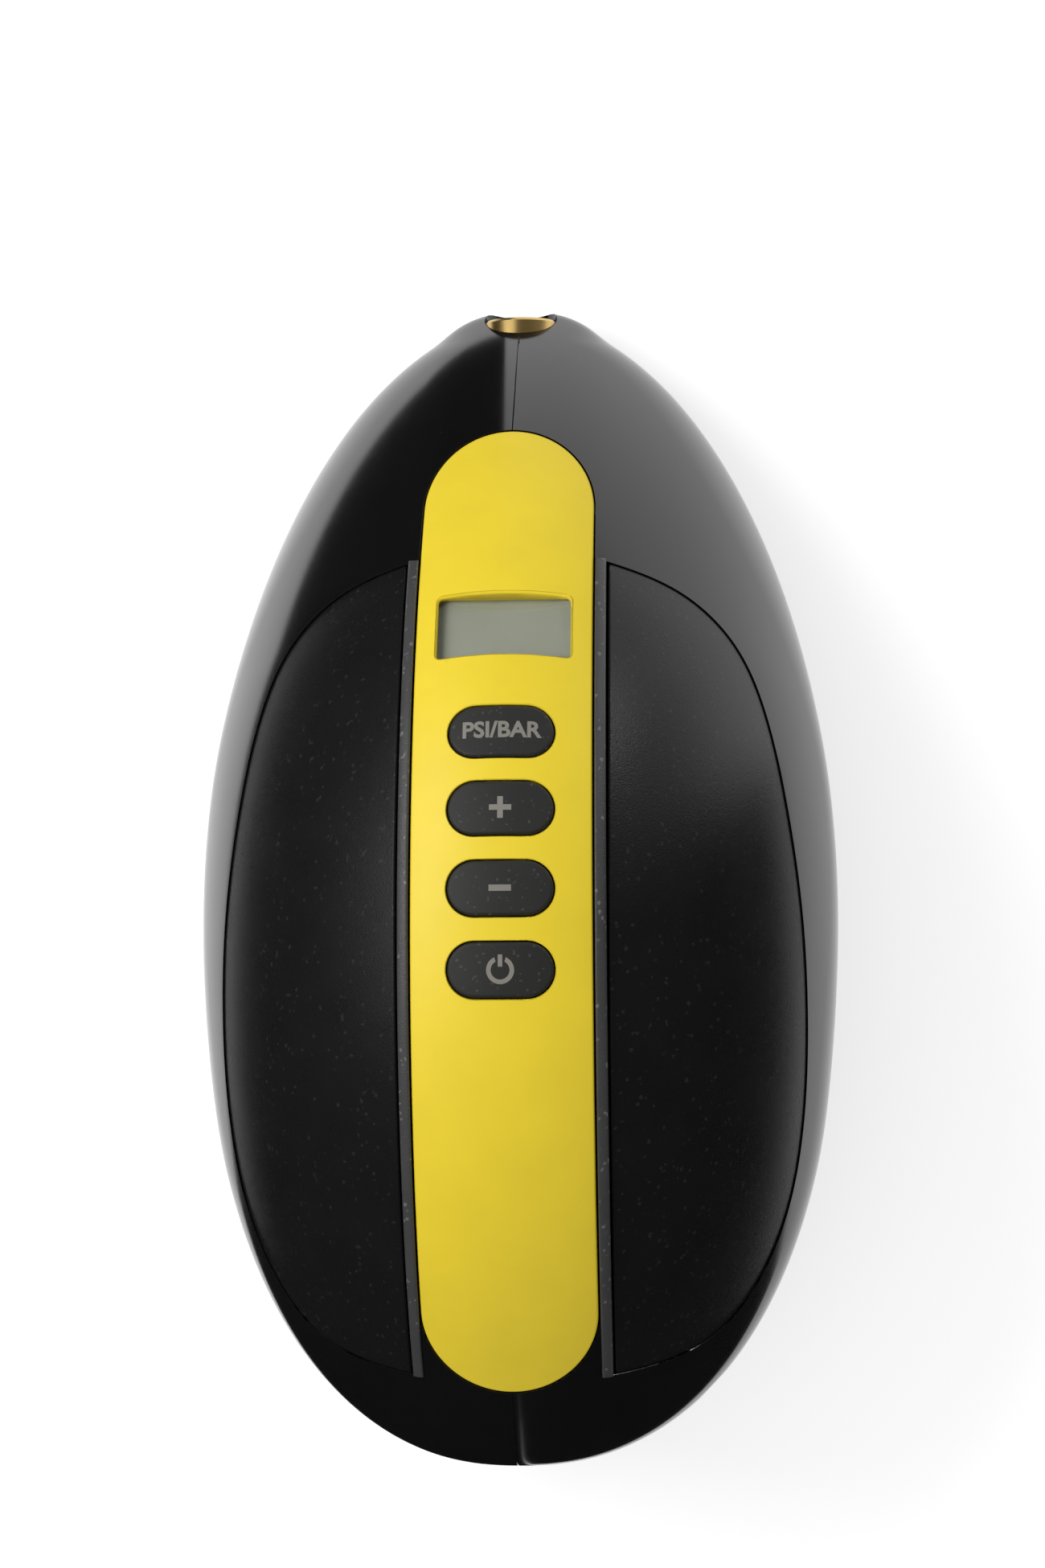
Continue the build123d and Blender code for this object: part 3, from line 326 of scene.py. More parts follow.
def plugSolid(name, angle, levels, topRows=0, topInset=0.0):
    # solid on the back at an angle; a level is (outline, inset or None, depth, normal lift below, above)
    rings = []
    turn = math.radians(angle)
    out = np.array([0, math.sin(turn), math.cos(turn)])
    along = np.array([0, math.cos(turn), -math.sin(turn)])
    for outline, inset, depth, below, above in levels:
        outward = outwardNormals(outline)
        flat = unit(outward[:, :1] * np.array([1.0, 0, 0]) + outward[:, 1:] * along)
        points, normals = backAt(angle, outline[:, 0], outline[:, 1], inset or 0.0, depth)
        lean = np.tile(out, (len(outline), 1)) if inset is None else normals
        mixed = [unit(flat * math.cos(lift) + lean * math.sin(lift)) for lift in (below, above)]
        rings.append((points, *mixed))
    if topRows:
        rim = levels[-1][0]
        for share in np.linspace(1, 0.03, topRows + 1)[1:]:
            plan = rim.mean(0) + (rim - rim.mean(0)) * share
            points, normals = backAt(angle, plan[:, 0], plan[:, 1], topInset)
            rings.append((points, normals, normals))
    return ringSolid(name, rings)


def carve(piece, steps):
    # boolean steps of (operation, cutter), then the result as a plain mesh without the cutters
    for operation, cutter in steps:
        step = piece.modifiers.new(cutter.name, "BOOLEAN")
        step.solver, step.operation, step.object = "MANIFOLD", operation, cutter
    made = finalMesh(piece)
    piece.modifiers.clear()
    old, piece.data = piece.data, made
    bpy.data.meshes.remove(old)
    return piece


def discard(cutters):
    for cutter in cutters:
        mesh = cutter.data
        bpy.data.objects.remove(cutter)
        bpy.data.meshes.remove(mesh)


def polish(piece, rules, sharp=30.0):
    # shading normals: each rule gives distance to its surface and that surface's normals
    mesh = piece.data
    mesh.shade_smooth()
    mesh.set_sharp_from_angle(angle=math.radians(sharp))
    count = len(mesh.vertices)
    points, corners = np.zeros(count * 3), np.zeros(len(mesh.loops), int)
    mesh.vertices.foreach_get("co", points)
    mesh.loops.foreach_get("vertex_index", corners)
    points = points.reshape(-1, 3) / mm
    faceNormals, sizes = np.zeros(len(mesh.polygons) * 3), np.zeros(len(mesh.polygons), int)
    mesh.polygons.foreach_get("normal", faceNormals)
    mesh.polygons.foreach_get("loop_total", sizes)
    own = np.repeat(faceNormals.reshape(-1, 3), sizes, 0)
    wanted = np.zeros((len(corners), 3))
    for distance, normals, reach, limit in rules:
        near, lean = np.abs(distance(points)) < reach, normals(points)
        for facing in (1, -1):
            hit = near[corners] & ((own * lean[corners]).sum(1) * facing > limit)
            wanted[hit] = facing * lean[corners][hit]
    mesh.normals_split_custom_set(wanted.tolist())
    return piece


# Shader building.
class Signal:
    def __init__(self, finish, socket):
        self.finish, self.socket = finish, socket

    def joined(self, operation, other, flipped=False):
        pair = (other, self) if flipped else (self, other)
        return self.finish.node("ShaderNodeMath", {"operation": operation}, dict(enumerate(pair)))

    def __add__(self, other):
        return self.joined("ADD", other)

    def __radd__(self, other):
        return self.joined("ADD", other, True)

    def __sub__(self, other):
        return self.joined("SUBTRACT", other)

    def __rsub__(self, other):
        return self.joined("SUBTRACT", other, True)

    def __mul__(self, other):
        return self.joined("MULTIPLY", other)

    def __rmul__(self, other):
        return self.joined("MULTIPLY", other, True)

    def __truediv__(self, other):
        return self.joined("DIVIDE", other)


class Weaver:
    # one node-making method for shader trees and geometry trees
    def feed(self, socket, value):
        if isinstance(value, Signal):
            self.tree.links.new(value.socket, socket)
        elif isinstance(value, tuple) and len(value) == 3 and socket.type == "RGBA":
            socket.default_value = (*value, 1.0)
        else:
            socket.default_value = value

    def node(self, kind, settings=None, inputs=None, output=0):
        made = self.tree.nodes.new(kind)
        for key, value in (settings or {}).items():
            if key == "stops":
                ramp = made.color_ramp.elements
                while len(ramp) < len(value):
                    ramp.new(0.5)
                for element, (position, tone) in zip(ramp, value):
                    element.position = position
                    element.color = (tone, tone, tone, 1.0)
            else:
                setattr(made, key, value)
        for key, value in (inputs or {}).items():
            self.feed(made.inputs[key], value)
        return Signal(self, made.outputs[output])

    def maths(self, operation, *values):
        return self.node("ShaderNodeMath", {"operation": operation}, dict(enumerate(values)))

    def parts(self, vector):
        first = self.node("ShaderNodeSeparateXYZ", {}, {0: vector})
        return [Signal(self, output) for output in first.socket.node.outputs]


class Finish(Weaver):
    def __init__(self, name, **constants):
        self.material = bpy.data.materials.new(name)
        self.material.use_nodes = True
        self.tree = self.material.node_tree
        self.tree.nodes.clear()
        self.shader = self.tree.nodes.new("ShaderNodeBsdfPrincipled")
        self.output = self.tree.nodes.new("ShaderNodeOutputMaterial")
        self.tree.links.new(self.shader.outputs[0], self.output.inputs[0])
        self.place = self.node("ShaderNodeTexCoord", output="Object")
        for socket, value in constants.items():
            self.shade(socket, value)

    def shade(self, socket, value):
        self.feed(self.shader.inputs[socket.replace("_", " ")], value)

    def noise(self, grain, detail=3.0, roughness=0.5, stretch=(1, 1, 1)):
        # grain is the size of one blotch in millimetres
        place = self.place
        if stretch != (1, 1, 1):
            place = self.node("ShaderNodeMapping", {}, {"Vector": place, "Scale": stretch})
        sizes = {"Vector": place, "Scale": 1 / (grain * mm), "Detail": detail, "Roughness": roughness}
        return self.node("ShaderNodeTexNoise", {}, sizes)

    def cells(self, grain, output=0, randomness=1.0, distance="EUCLIDEAN"):
        sizes = {"Vector": self.place, "Scale": 1 / (grain * mm), "Randomness": randomness}
        return self.node("ShaderNodeTexVoronoi", {"distance": distance}, sizes, output)

    def ramp(self, signal, *stops):
        return self.node("ShaderNodeValToRGB", {"stops": stops}, {"Fac": signal})

    def mixed(self, factor, first, second):
        settings = {"data_type": "RGBA", "clamp_factor": True}
        return self.node("ShaderNodeMix", settings, {0: factor, 6: first, 7: second}, 2)

    def bumped(self, height, depth):
        # depth in millimetres
        self.shade("Normal", self.node("ShaderNodeBump", {}, {"Height": height, "Distance": depth * mm}))


def toned(colour, factor):
    return tuple(min(channel * factor, 1.0) for channel in colour)


def mouldedFinish(name, colour, rough, grain=0.35, depth=0.01, spread=0.12, dust=0.0, wear=0.05, ior=1.5):
    # moulded plastic or rubber: fine texture, cloudy gloss, faint colour drift and dust specks
    finish = Finish(name, IOR=ior)
    drift = finish.noise(14.0, 4.0, 0.6)
    cloud = finish.noise(5.0, 5.0, 0.55)
    skin = finish.noise(grain, 2.0, 0.65)
    drift = finish.ramp(drift, (0.3, 0.0), (0.7, 1.0))
    tint = finish.mixed(drift, toned(colour, 1 - spread), toned(colour, 1 + spread))
    gloss = rough + (cloud - 0.5) * wear + (skin - 0.5) * wear
    if dust:
        specks = finish.ramp(finish.cells(2.6), (0.0, 1.0), (0.045, 0.0))
        patches = finish.ramp(finish.noise(9.0, 3.0), (0.5, 0.0), (0.62, 1.0))
        spots = specks * patches * dust
        tint = finish.mixed(spots, tint, (0.45, 0.44, 0.42))
        gloss = gloss + spots * 0.3
    finish.shade("Roughness", gloss)
    finish.shade("Base_Color", tint)
    finish.bumped(skin, depth)
    return finish.material


def erodedFinish(name, colour, rough, pit=0.32, depth=0.03):
    # spark-eroded plastic: rounded grains of mixed size, with painted glints on their tops (lighter colour
    # standing in for highlights)
    finish = Finish(name, IOR=1.5)
    coarse = finish.cells(pit)
    fine = finish.noise(pit * 0.55, 3.0, 0.7)
    cloud = finish.noise(11.0, 4.0, 0.55)
    height = 1 - coarse * 0.7 + fine * 0.6
    # painted glints: scattered grain tops are lightened in colour to stand in for highlights
    paintedGlints = finish.ramp(finish.cells(pit * 1.7, output="Color"), (0.0, 0.0), (0.86, 0.0), (0.9, 1.0))
    base = finish.mixed(cloud, toned(colour, 0.8), toned(colour, 1.25))
    finish.shade("Base_Color", finish.mixed(paintedGlints * fine, base, toned(colour, 4.0)))
    finish.shade("Roughness", rough + (fine - 0.5) * 0.14 + (cloud - 0.5) * 0.08)
    finish.bumped(height, depth)
    return finish.material


def metalFinish(name, colour, rough, brushed=(1, 1, 1), grain=0.5, depth=0.006, stain=0.2):
    finish = Finish(name, Metallic=1.0)
    lines = finish.noise(grain, 4.0, 0.7, brushed)
    cloud = finish.noise(6.0, 4.0, 0.6)
    finish.shade("Base_Color", finish.mixed(cloud, toned(colour, 1 - stain), colour))
    finish.shade("Roughness", rough + (lines - 0.5) * 0.18 + (cloud - 0.5) * 0.1)
    finish.bumped(lines, depth)
    return finish.material


def glassFinish(name, colour, rough):
    finish = Finish(name, IOR=1.49, Base_Color=colour, Transmission_Weight=1.0)
    smear = finish.noise(6.0, 4.0, 0.6)
    finish.shade("Roughness", rough + smear * 0.04)
    clear = finish.node("ShaderNodeBsdfTransparent")
    shadow = finish.node("ShaderNodeLightPath", output="Is Shadow Ray")
    parts = {0: shadow, 1: Signal(finish, finish.shader.outputs[0]), 2: clear}
    finish.feed(finish.output.inputs[0], finish.node("ShaderNodeMixShader", {}, parts))
    return finish.material


def boardFinish(name):
    # solder mask over tracks, with pads and small bright joints
    finish = Finish(name, IOR=1.52)
    weave = finish.cells(1 / 0.52, randomness=0.85, distance="CHEBYCHEV")
    tracks = finish.ramp(weave, (0.46, 0.0), (0.5, 1.0))
    pads = finish.ramp(finish.cells(3.1), (0.1, 1.0), (0.13, 0.0))
    mask = finish.mixed(tracks, (0.010, 0.085, 0.028), (0.022, 0.16, 0.055))
    finish.shade("Base_Color", finish.mixed(pads, mask, (0.55, 0.53, 0.5)))
    finish.shade("Metallic", pads)
    finish.shade("Roughness", 0.34 + finish.noise(1.5, 3.0) * 0.12)
    finish.bumped(tracks * 0.5 + pads, 0.03)
    return finish.material


def armatureFinish(name):
    # stacked sheets in the middle, lacquered copper wire towards both ends
    finish = Finish(name, Metallic=1.0)
    x = finish.parts(finish.place)[0]
    sheets = finish.maths("PINGPONG", x, 0.0005) / 0.0005
    wire = finish.noise(0.5, 3.0, 0.6, (1, 6, 6))
    ends = finish.maths("GREATER_THAN", finish.maths("PINGPONG", x + 0.003, 0.017), 0.0125)
    steel = finish.mixed(sheets, (0.16, 0.16, 0.17), (0.34, 0.34, 0.35))
    finish.shade("Base_Color", finish.mixed(ends, steel, (0.62, 0.24, 0.09)))
    finish.shade("Roughness", 0.4 + (wire - 0.5) * 0.2)
    finish.bumped(sheets * 0.5 + wire * 0.5, 0.05)
    return finish.material


def cellFinish(name, ends):
    # shrink sleeve with a printed band, bare metal beyond the sleeve's ends
    finish = Finish(name, IOR=1.5)
    x = finish.parts(finish.place)[0]
    bare = finish.maths("GREATER_THAN", finish.maths("ABSOLUTE", x - ends[0]), ends[1])
    band = finish.maths("LESS_THAN", finish.maths("ABSOLUTE", x + 0.021), 0.004)
    cloud = finish.noise(8.0, 4.0, 0.6)
    sleeve = finish.mixed(cloud, (0.022, 0.11, 0.3), (0.032, 0.15, 0.38))
    sleeve = finish.mixed(band, sleeve, (0.6, 0.6, 0.6))
    finish.shade("Base_Color", finish.mixed(bare, sleeve, (0.6, 0.6, 0.58)))
    finish.shade("Metallic", bare)
    finish.shade("Roughness", 0.28 + cloud * 0.1)
    finish.bumped(finish.noise(2.5, 3.0, 0.6), 0.02)
    return finish.material


finishes = {
    "housing_shell": mouldedFinish(
        "glossShell", (0.006, 0.006, 0.0064), 0.13, 0.5, 0.001, 0.1, dust=0.25, wear=0.04, ior=1.58),
    "grip_texture": erodedFinish("gripTexture", (0.009, 0.009, 0.0095), 0.29),
    "rail_texture": erodedFinish("railGrain", (0.06, 0.06, 0.061), 0.34, 0.3, 0.05),
    "console_yellow": mouldedFinish("consoleYellow", (0.92, 0.7, 0.022), 0.48, 0.3, 0.004, 0.03, 0.0, 0.06),
    "key_grey": erodedFinish("keyGrey", (0.022, 0.021, 0.02), 0.58, 0.22, 0.012),
    "display_grey": mouldedFinish("displayGrey", (0.29, 0.3, 0.245), 0.35, 0.8, 0.001, 0.05),
    "board_green": boardFinish("boardGreen"),
    "steel": metalFinish("brightSteel", (0.62, 0.61, 0.59), 0.28, (1, 1, 8)),
    "dark_steel": metalFinish("darkSteel", (0.2, 0.2, 0.21), 0.38, (4, 1, 1)),
    "cast_aluminium": metalFinish("castAluminium", (0.6, 0.6, 0.6), 0.5, (1, 1, 1), 0.8, 0.04),
    "brass": metalFinish("turnedBrass", (0.72, 0.5, 0.18), 0.3, (1, 8, 1)),
    "piston_nylon": mouldedFinish("pistonNylon", (0.62, 0.58, 0.48), 0.42, 0.6, 0.01),
    "seal_rubber": mouldedFinish("sealRubber", (0.014, 0.014, 0.014), 0.6, 0.3, 0.02),
    "tube_silicone": mouldedFinish("tubeSilicone", (0.5, 0.5, 0.46), 0.4, 0.5, 0.01),
    "magnet": mouldedFinish("magnetFerrite", (0.03, 0.03, 0.032), 0.65, 0.2, 0.02),
    "cell_wrap": cellFinish("cellWrap", (0.0, 0.0322)),
    "tray_black": mouldedFinish("trayBlack", (0.02, 0.02, 0.021), 0.5, 0.35, 0.015),
    "turnedSteel": metalFinish("turnedSteel", (0.6, 0.6, 0.6), 0.25, (9, 1, 1), 0.4),
    "machinedBore": metalFinish("machinedBore", (0.66, 0.66, 0.67), 0.32, (1, 9, 1), 0.5),
    "rolledCan": metalFinish("rolledCan", (0.5, 0.5, 0.49), 0.36, (1, 5, 5), 0.7, 0.01, 0.3),
    "blueSpring": metalFinish("blueSpring", (0.3, 0.34, 0.42), 0.24, (1, 1, 6), 0.4, 0.004),
    "switchBody": mouldedFinish("switchBody", (0.03, 0.03, 0.032), 0.45, 0.3, 0.01),
    "sensorCase": mouldedFinish("sensorCase", (0.05, 0.05, 0.055), 0.38, 0.5, 0.012),
    "armature": armatureFinish("armature"),
}
finishes["display_window"] = glassFinish("displayWindow", (0.97, 0.98, 0.96), 0.03)
finishes["markPrint"] = mouldedFinish("markPrint", (0.24, 0.23, 0.2), 0.55, 0.25, 0.01, 0.1)
print("finishes made:", len(finishes))


def dress(piece, bodyName, slotName, *nodes, finish=None):
    piece.data.materials.clear()
    piece.data.materials.append(finishes[finish or slotName])
    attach(piece, bodyName)
    if nodes:
        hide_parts(*nodes)
    return piece


# Outlines that several pieces share.
console = {
    "half": 15.1, "noseY": 79.9, "tailY": -88.0, "thickness": 2.2, "gap": 0.3, "bed": 0.05,
    "edge": 0.35, "ledge": 2.0, "ledgeMargin": 4.5, "windowHalf": 13.8, "windowY": (-31.0, 54.0),
}
panel = {
    "inner": 15.4, "railWidth": 2.0, "gap": 0.3, "sink": 0.25, "thickness": 1.4, "edge": 0.5,
    "frontY": 55.6, "tailY": -86.0, "seen": 0.03,
}
panelCurve = [
    (15.4, 55.6), (30.4, 49.6), (40.4, 39.6), (45.4, 27.5), (48.7, 12.0), (51.2, -7.0),
    (52.0, -25.0), (51.0, -47.0), (45.6, -68.0), (35.0, -81.5), (15.4, -86.0),
]


def consoleOutline(margin, count=40):
    middle = (console["noseY"] + console["tailY"]) / 2
    half = (console["noseY"] - console["tailY"]) / 2 + margin
    return slotOutline(console["half"] + margin, half, count) + np.array([0, middle])


def panelOutline(side, innerX, margin, count=150):
    points = np.array(panelCurve)
    along = unit(np.gradient(points, axis=0))
    points = points + margin * np.stack([-along[:, 1], along[:, 0]], -1)
    lengths = np.concatenate([[0], np.cumsum(np.linalg.norm(np.diff(points, axis=0), axis=1))])
    outer = naturalSpline(lengths, points)(np.linspace(0, lengths[-1], 6 * count))
    outer = outer[outer[:, 0] > innerX]
    run = np.concatenate([[0], np.cumsum(np.linalg.norm(np.diff(outer, axis=0), axis=1))])
    even = np.linspace(0, run[-1], count)
    outer = np.stack([np.interp(even, run, outer[:, axis]) for axis in (0, 1)], -1)
    outer[0, 0] = outer[-1, 0] = innerX
    inner = np.linspace(outer[-1, 1], outer[0, 1], count // 2)[1:-1]
    closed = np.concatenate([outer, np.stack([np.full(len(inner), innerX), inner], -1)])
    # the curve runs from nose to tail, so on the right it is clockwise
    return closed[::-1] if side > 0 else closed * np.array([-1, 1])


# Housing shells.
shell = {
    "around": 330, "down": 150, "core": 62.0, "coreHeight": 35.0, "reach": 140.0, "seam": 0.13,
    "wellHead": 3.1, "wellFrom": 6.0, "wellDepth": 60.0, "bossRadius": 4.6, "bossReach": 58.0,
    "floor": 4.5, "floorPost": 3.6, "postHeight": 3.5, "bore": 1.55, "boreFrom": -11.0, "boreDepth": 18.0,
    "portHeight": 14.0, "inletHeight": 31.0, "footWell": (7.1, 4.0), "cutTop": -6.0,
}
vent = {"half": (1.0, 7.0), "x": 17.0, "y": 43.0, "pitch": 4.0, "rows": 7, "bottom": 1.0, "top": 8.0}
bossPlaces = [(64.0, 11.0), (24.0, 66.0), (-58.0, 71.0), (-94.0, 53.0), (-94.0, 12.6)]
postPlaces = [(-16.0, -34.0), (-16.0, 14.0), (26.0, -34.0), (26.0, 14.0), (-22.0, -67.0), (22.0, -67.0)]
footPlaces = [(34.0, 50.0), (-34.0, 50.0), (36.0, -60.0), (-36.0, -60.0)]


def formGrid(inset, around, down, seam):
    turns, lifts = np.linspace(0, math.pi, around + 1), np.linspace(-math.pi / 2, math.pi / 2, down + 1)
    if seam:
        edge = seam / 45.0
        turns = np.sort(np.append(turns, (edge, math.pi - edge)))
        lifts = np.sort(np.append(lifts, (math.pi / 2 - seam / 62.0, seam / 32.0 - math.pi / 2)))
    turn, lift = np.meshgrid(turns, lifts, indexing="ij")
    still = np.zeros_like(turn)
    origin = np.stack([still, shell["core"] * np.cos(turn), still + shell["coreHeight"]], -1)
    heading = np.stack([np.cos(lift) * np.sin(turn), np.cos(lift) * np.cos(turn), np.sin(lift)], -1)
    low, high = np.zeros(turn.shape), np.full(turn.shape, shell["reach"])
    for _ in range(30):
        middle = (low + high) / 2
        points = origin + middle[..., None] * heading
        value = formDistance(points, inset)
        if seam:
            value = value + seam * np.maximum(0, 1 - np.abs(points[..., 0]) / seam)
        low, high = np.where(value < 0, middle, low), np.where(value < 0, high, middle)
    points = origin + low[..., None] * heading
    points[0, :, 0] = points[-1, :, 0] = points[:, 0, 0] = points[:, -1, 0] = 0.0
    return points


def gridFaces(index, flip):
    a, b, c, d = index[:-1, :-1], index[1:, :-1], index[1:, 1:], index[:-1, 1:]
    return np.stack([a, b, c, d] if flip else [a, d, c, b], -1).reshape(-1, 4)


def halfForm(name, side):
    points = formGrid(0.0, shell["around"], shell["down"], shell["seam"])
    index = np.arange(points[..., 0].size).reshape(points.shape[:2])
    rim = np.concatenate([index[0, :], index[1:, -1], index[-1, -2::-1], index[-2:0:-1, 0]])
    faces = gridFaces(index, side < 0).tolist() + [rim[::-side].tolist()]
    return meshPiece(name, points.reshape(-1, 3) * np.array([side, 1, 1]), faces)


def wholeForm(name, inset, around=120, down=60):
    points = formGrid(inset, around, down, 0)
    index = np.arange(points[..., 0].size).reshape(points.shape[:2])
    edge = np.ones_like(index, bool)
    edge[1:-1, 1:-1] = False
    mirrored = np.where(edge, index, index + index.size)
    faces = np.concatenate([gridFaces(index, False), gridFaces(mirrored, True)])
    used, order = np.unique(faces, return_inverse=True)
    flat = points.reshape(-1, 3)
    points = np.concatenate([flat, flat * np.array([-1, 1, 1])])[used]
    return meshPiece(name, points, order.reshape(-1, 4).tolist())


alongX, alongY, upward = np.eye(3)
bedInset = console["thickness"] + console["bed"]
gripInset = panel["sink"] + panel["thickness"] + console["bed"]
windowFrom, windowTo = console["windowY"]
windowPlan = roundedBox(console["windowHalf"], (windowTo - windowFrom) / 2, 0.5)
windowPlan = windowPlan + np.array([0, (windowFrom + windowTo) / 2])
hollow, outerForm = wholeForm("hollow", form["wall"]), wholeForm("outerForm", 0.05)
ledge = layerSolid("ledge", consoleOutline(console["ledgeMargin"]), bedInset,
                   console["thickness"] + console["ledge"])
windowCut = layerSolid("windowCut", windowPlan, shell["cutTop"], 2 * console["ledge"] + console["thickness"])
channelCut = layerSolid("channelCut", consoleOutline(console["gap"]), shell["cutTop"], bedInset)
bosses = rods("boss", [(-shell["bossReach"], y, z) for y, z in bossPlaces], alongX,
              shell["bossRadius"], 2 * shell["bossReach"], 28)
floorPlaces = [(x, y, shell["floor"]) for x, y in postPlaces]
posts = rods("post", floorPlaces, upward, shell["floorPost"], shell["postHeight"], 28)
collars = rods("portCollar", [(0, 96.5, shell["portHeight"])], alongY, 10, 22, 40)
collars += rods("inletCollar", [(0, -110, shell["inletHeight"])], alongY, 7.5, 10, 40)
cuts = rods("bore", [(shell["boreFrom"], y, z) for y, z in bossPlaces], alongX,
            shell["bore"], shell["boreDepth"], 20)
cuts += rods("postBore", floorPlaces, upward, shell["bore"], 6, 20)
cuts += rods("portCut", [(0, 94, shell["portHeight"])], alongY, 7.1, 22, 64)
cuts += rods("inletCut", [(0, -130, shell["inletHeight"])], alongY, 5.6, 60, 56)
cuts += rods("footCut", [(x, y, 0) for x, y in footPlaces], upward, *shell["footWell"], 48)
ventPlan = slotOutline(*vent["half"], 10)[:, ::-1] * (-1, 1)
for side in (-1, 1):
    for row in range(vent["rows"]):
        middle = (side * vent["x"], vent["y"] + vent["pitch"] * (row - vent["rows"] // 2))
        cuts.append(prismSolid(f"vent{side}{row}", ventPlan + middle, vent["bottom"], vent["top"]))
wells = rods("well", [(shell["wellFrom"], y, z) for y, z in bossPlaces], alongX,
             shell["wellHead"], shell["wellDepth"], 32)

for side, name in ((-1, "left"), (1, "right")):
    half = halfForm(f"housingShell_{name}", side)
    keep = prismSolid("keep", boxPoints(100, 200, (side * 100, 0)), -50, 200)
    panelPlan = panelOutline(side, panel["inner"], panel["seen"])
    recess = layerSolid("recess", panelPlan, shell["cutTop"], gripInset)
    inner = []
    for source in bosses + posts + collars + [ledge]:
        copy = addPiece(source.name + name, source.data.copy())
        carve(copy, [("INTERSECT", outerForm), ("INTERSECT", keep)])
        if len(copy.data.vertices):
            inner.append(copy)
        else:
            discard([copy])
    cutters = [windowCut, channelCut, recess] + cuts + (wells if side > 0 else [])
    carve(half, [("DIFFERENCE", hollow)] + [("UNION", piece) for piece in inner]
          + [("DIFFERENCE", cutter) for cutter in cutters])
    discard(inner + [keep, recess])
    polish(half, [(formDistance, normalsOf(formDistance), 0.02, 0.93),
                  crownRule(bedInset, 0.02, 0.98), crownRule(gripInset, 0.02, 0.98)])
    dress(half, "housing", "housing_shell", f"housing_{name}")
    print("housing half", name, len(half.data.polygons), "faces")
discard([hollow, outerForm, ledge, windowCut, channelCut] + bosses + posts + collars + cuts + wells)

# Grip panels and rails.
for side, name in ((-1, "left"), (1, "right")):
    inner = panel["inner"] + panel["railWidth"] + panel["gap"]
    plate = layerSolid(f"gripPanel_{name}", panelOutline(side, inner, 0.0), panel["sink"],
                       panel["sink"] + panel["thickness"], panel["edge"], 26)
    dress(plate, "housing", "grip_texture", f"grip_panel_{name}")
print("grip panels made")

rail = {"proud": 0.5, "bottom": 1.65, "round": 0.5, "clear": 0.05, "steps": 150}


def railPiece(name, side):
    # bar that follows the crown beside the console, round along both upper edges
    half, corner = panel["railWidth"] / 2 - rail["clear"], rail["round"]
    middle, top = panel["inner"] + panel["railWidth"] / 2, corner - rail["proud"]
    turns = np.linspace(math.pi, 0, 13)[1:-1]
    x = (half - corner) * np.sign(np.cos(turns).round(6)) + corner * np.cos(turns)
    x = np.concatenate([[-half, -half], x, [half, half]])
    insets = np.concatenate([[rail["bottom"], top], top - corner * np.sin(turns), [top, rail["bottom"]]])
    rings = [crownAt(middle + x, np.full(len(x), y), insets)[0] * (side, 1, 1)
             for y in np.linspace(panel["tailY"] + 0.05, panel["frontY"] - 0.05, rail["steps"])]
    piece = loftSolid(name, rings[::side])
    piece.data.set_sharp_from_angle(angle=math.radians(40))
    return piece


for side, name in ((-1, "left"), (1, "right")):
    dress(railPiece(f"sideRail_{name}", side), "housing", "rail_texture", f"side_rail_{name}")
print("rails made")

# Console strip with its display well and key openings.
display = {
    "angle": 33.3, "width": 22.8, "length": 12.6, "corner": 0.8, "paneDepth": 2.7, "pane": 1.2,
    "module": 3.4, "lip": 0.6, "frameWall": 1.4, "flare": 0.55, "clear": 0.1,
}
keys = {
    "names": ("power", "minus", "plus", "units"), "angle": 3.74, "pitch": 6.475, "width": 17.6, "height": 9.1,
    "proud": 0.25, "clear": 0.25, "flare": 0.2, "edge": 0.55, "flange": 0.8, "flangeDepth": 5.2,
    "stem": 1.5, "stemTop": 5.45, "boardDepth": 14.0,
}
keyAngles = [keys["angle"] + i * keys["pitch"] for i in range(4)]


def flaredCut(name, angle, outline, flare, depth):
    # opening with a rounded mouth that runs on above the crown
    outward, lastLift, beyond = outwardNormals(outline), 1.25, 0.1
    levels = [(outline, None, depth, 0, 0), (outline, flare, None, 0, 0)]
    for lift in np.linspace(0, lastLift, 6)[1:]:
        rim = outline + outward * flare * (1 - math.cos(lift))
        levels.append((rim, flare * (1 - math.sin(lift)), None, 0, 0))
    slope = flare * (1 - math.cos(lastLift)) + beyond * math.tan(lastLift)
    for inset in (flare * (1 - math.sin(lastLift)) - beyond, -4.0):
        levels.append((outline + outward * slope, inset, None, 0, 0))
    return plugSolid(name, angle, levels)


def keyOutline(margin, count=22):
    plan = slotOutline(keys["height"] / 2 + margin, keys["width"] / 2 + margin, count)
    return np.stack([plan[:, 1], -plan[:, 0]], -1)


def boxPlug(name, angle, halfWidth, halfLength, corner, top, bottom, inset=None):
    outline = roundedBox(halfWidth, halfLength, corner)
    upper = (outline, inset, top if inset is None else None, 0, math.pi / 2)
    return plugSolid(name, angle, [(outline, None, bottom, -math.pi / 2, 0), upper])


moduleDepth = display["paneDepth"] + display["pane"]
displayBack = moduleDepth + display["module"]
paneHalf = np.array([display["width"], display["length"]]) / 2 + display["lip"] - display["clear"]
frameHalf = paneHalf + display["clear"] + display["frameWall"]
strip = layerSolid("consoleStrip", consoleOutline(0.0, 60), 0.0, console["thickness"], console["edge"], 40)
surround = boxPlug("surround", display["angle"], *frameHalf, 0.6, None, displayBack, console["thickness"] / 2)
mouth = roundedBox(display["width"] / 2, display["length"] / 2, display["corner"])
opening = flaredCut("opening", display["angle"], mouth, display["flare"], display["paneDepth"] + 0.3)
pocket = boxPlug("pocket", display["angle"], *(paneHalf + 0.1), 0.4, display["paneDepth"], displayBack + 1)
holes = [flaredCut(f"hole{i}", angle, keyOutline(keys["clear"]), keys["flare"], 6.0)
         for i, angle in enumerate(keyAngles)]
boardAngle = sum(keyAngles) / 4
boardPosts = [(x, s) for x in (-9.4, 9.4) for s in (-27.0, 27.0)]
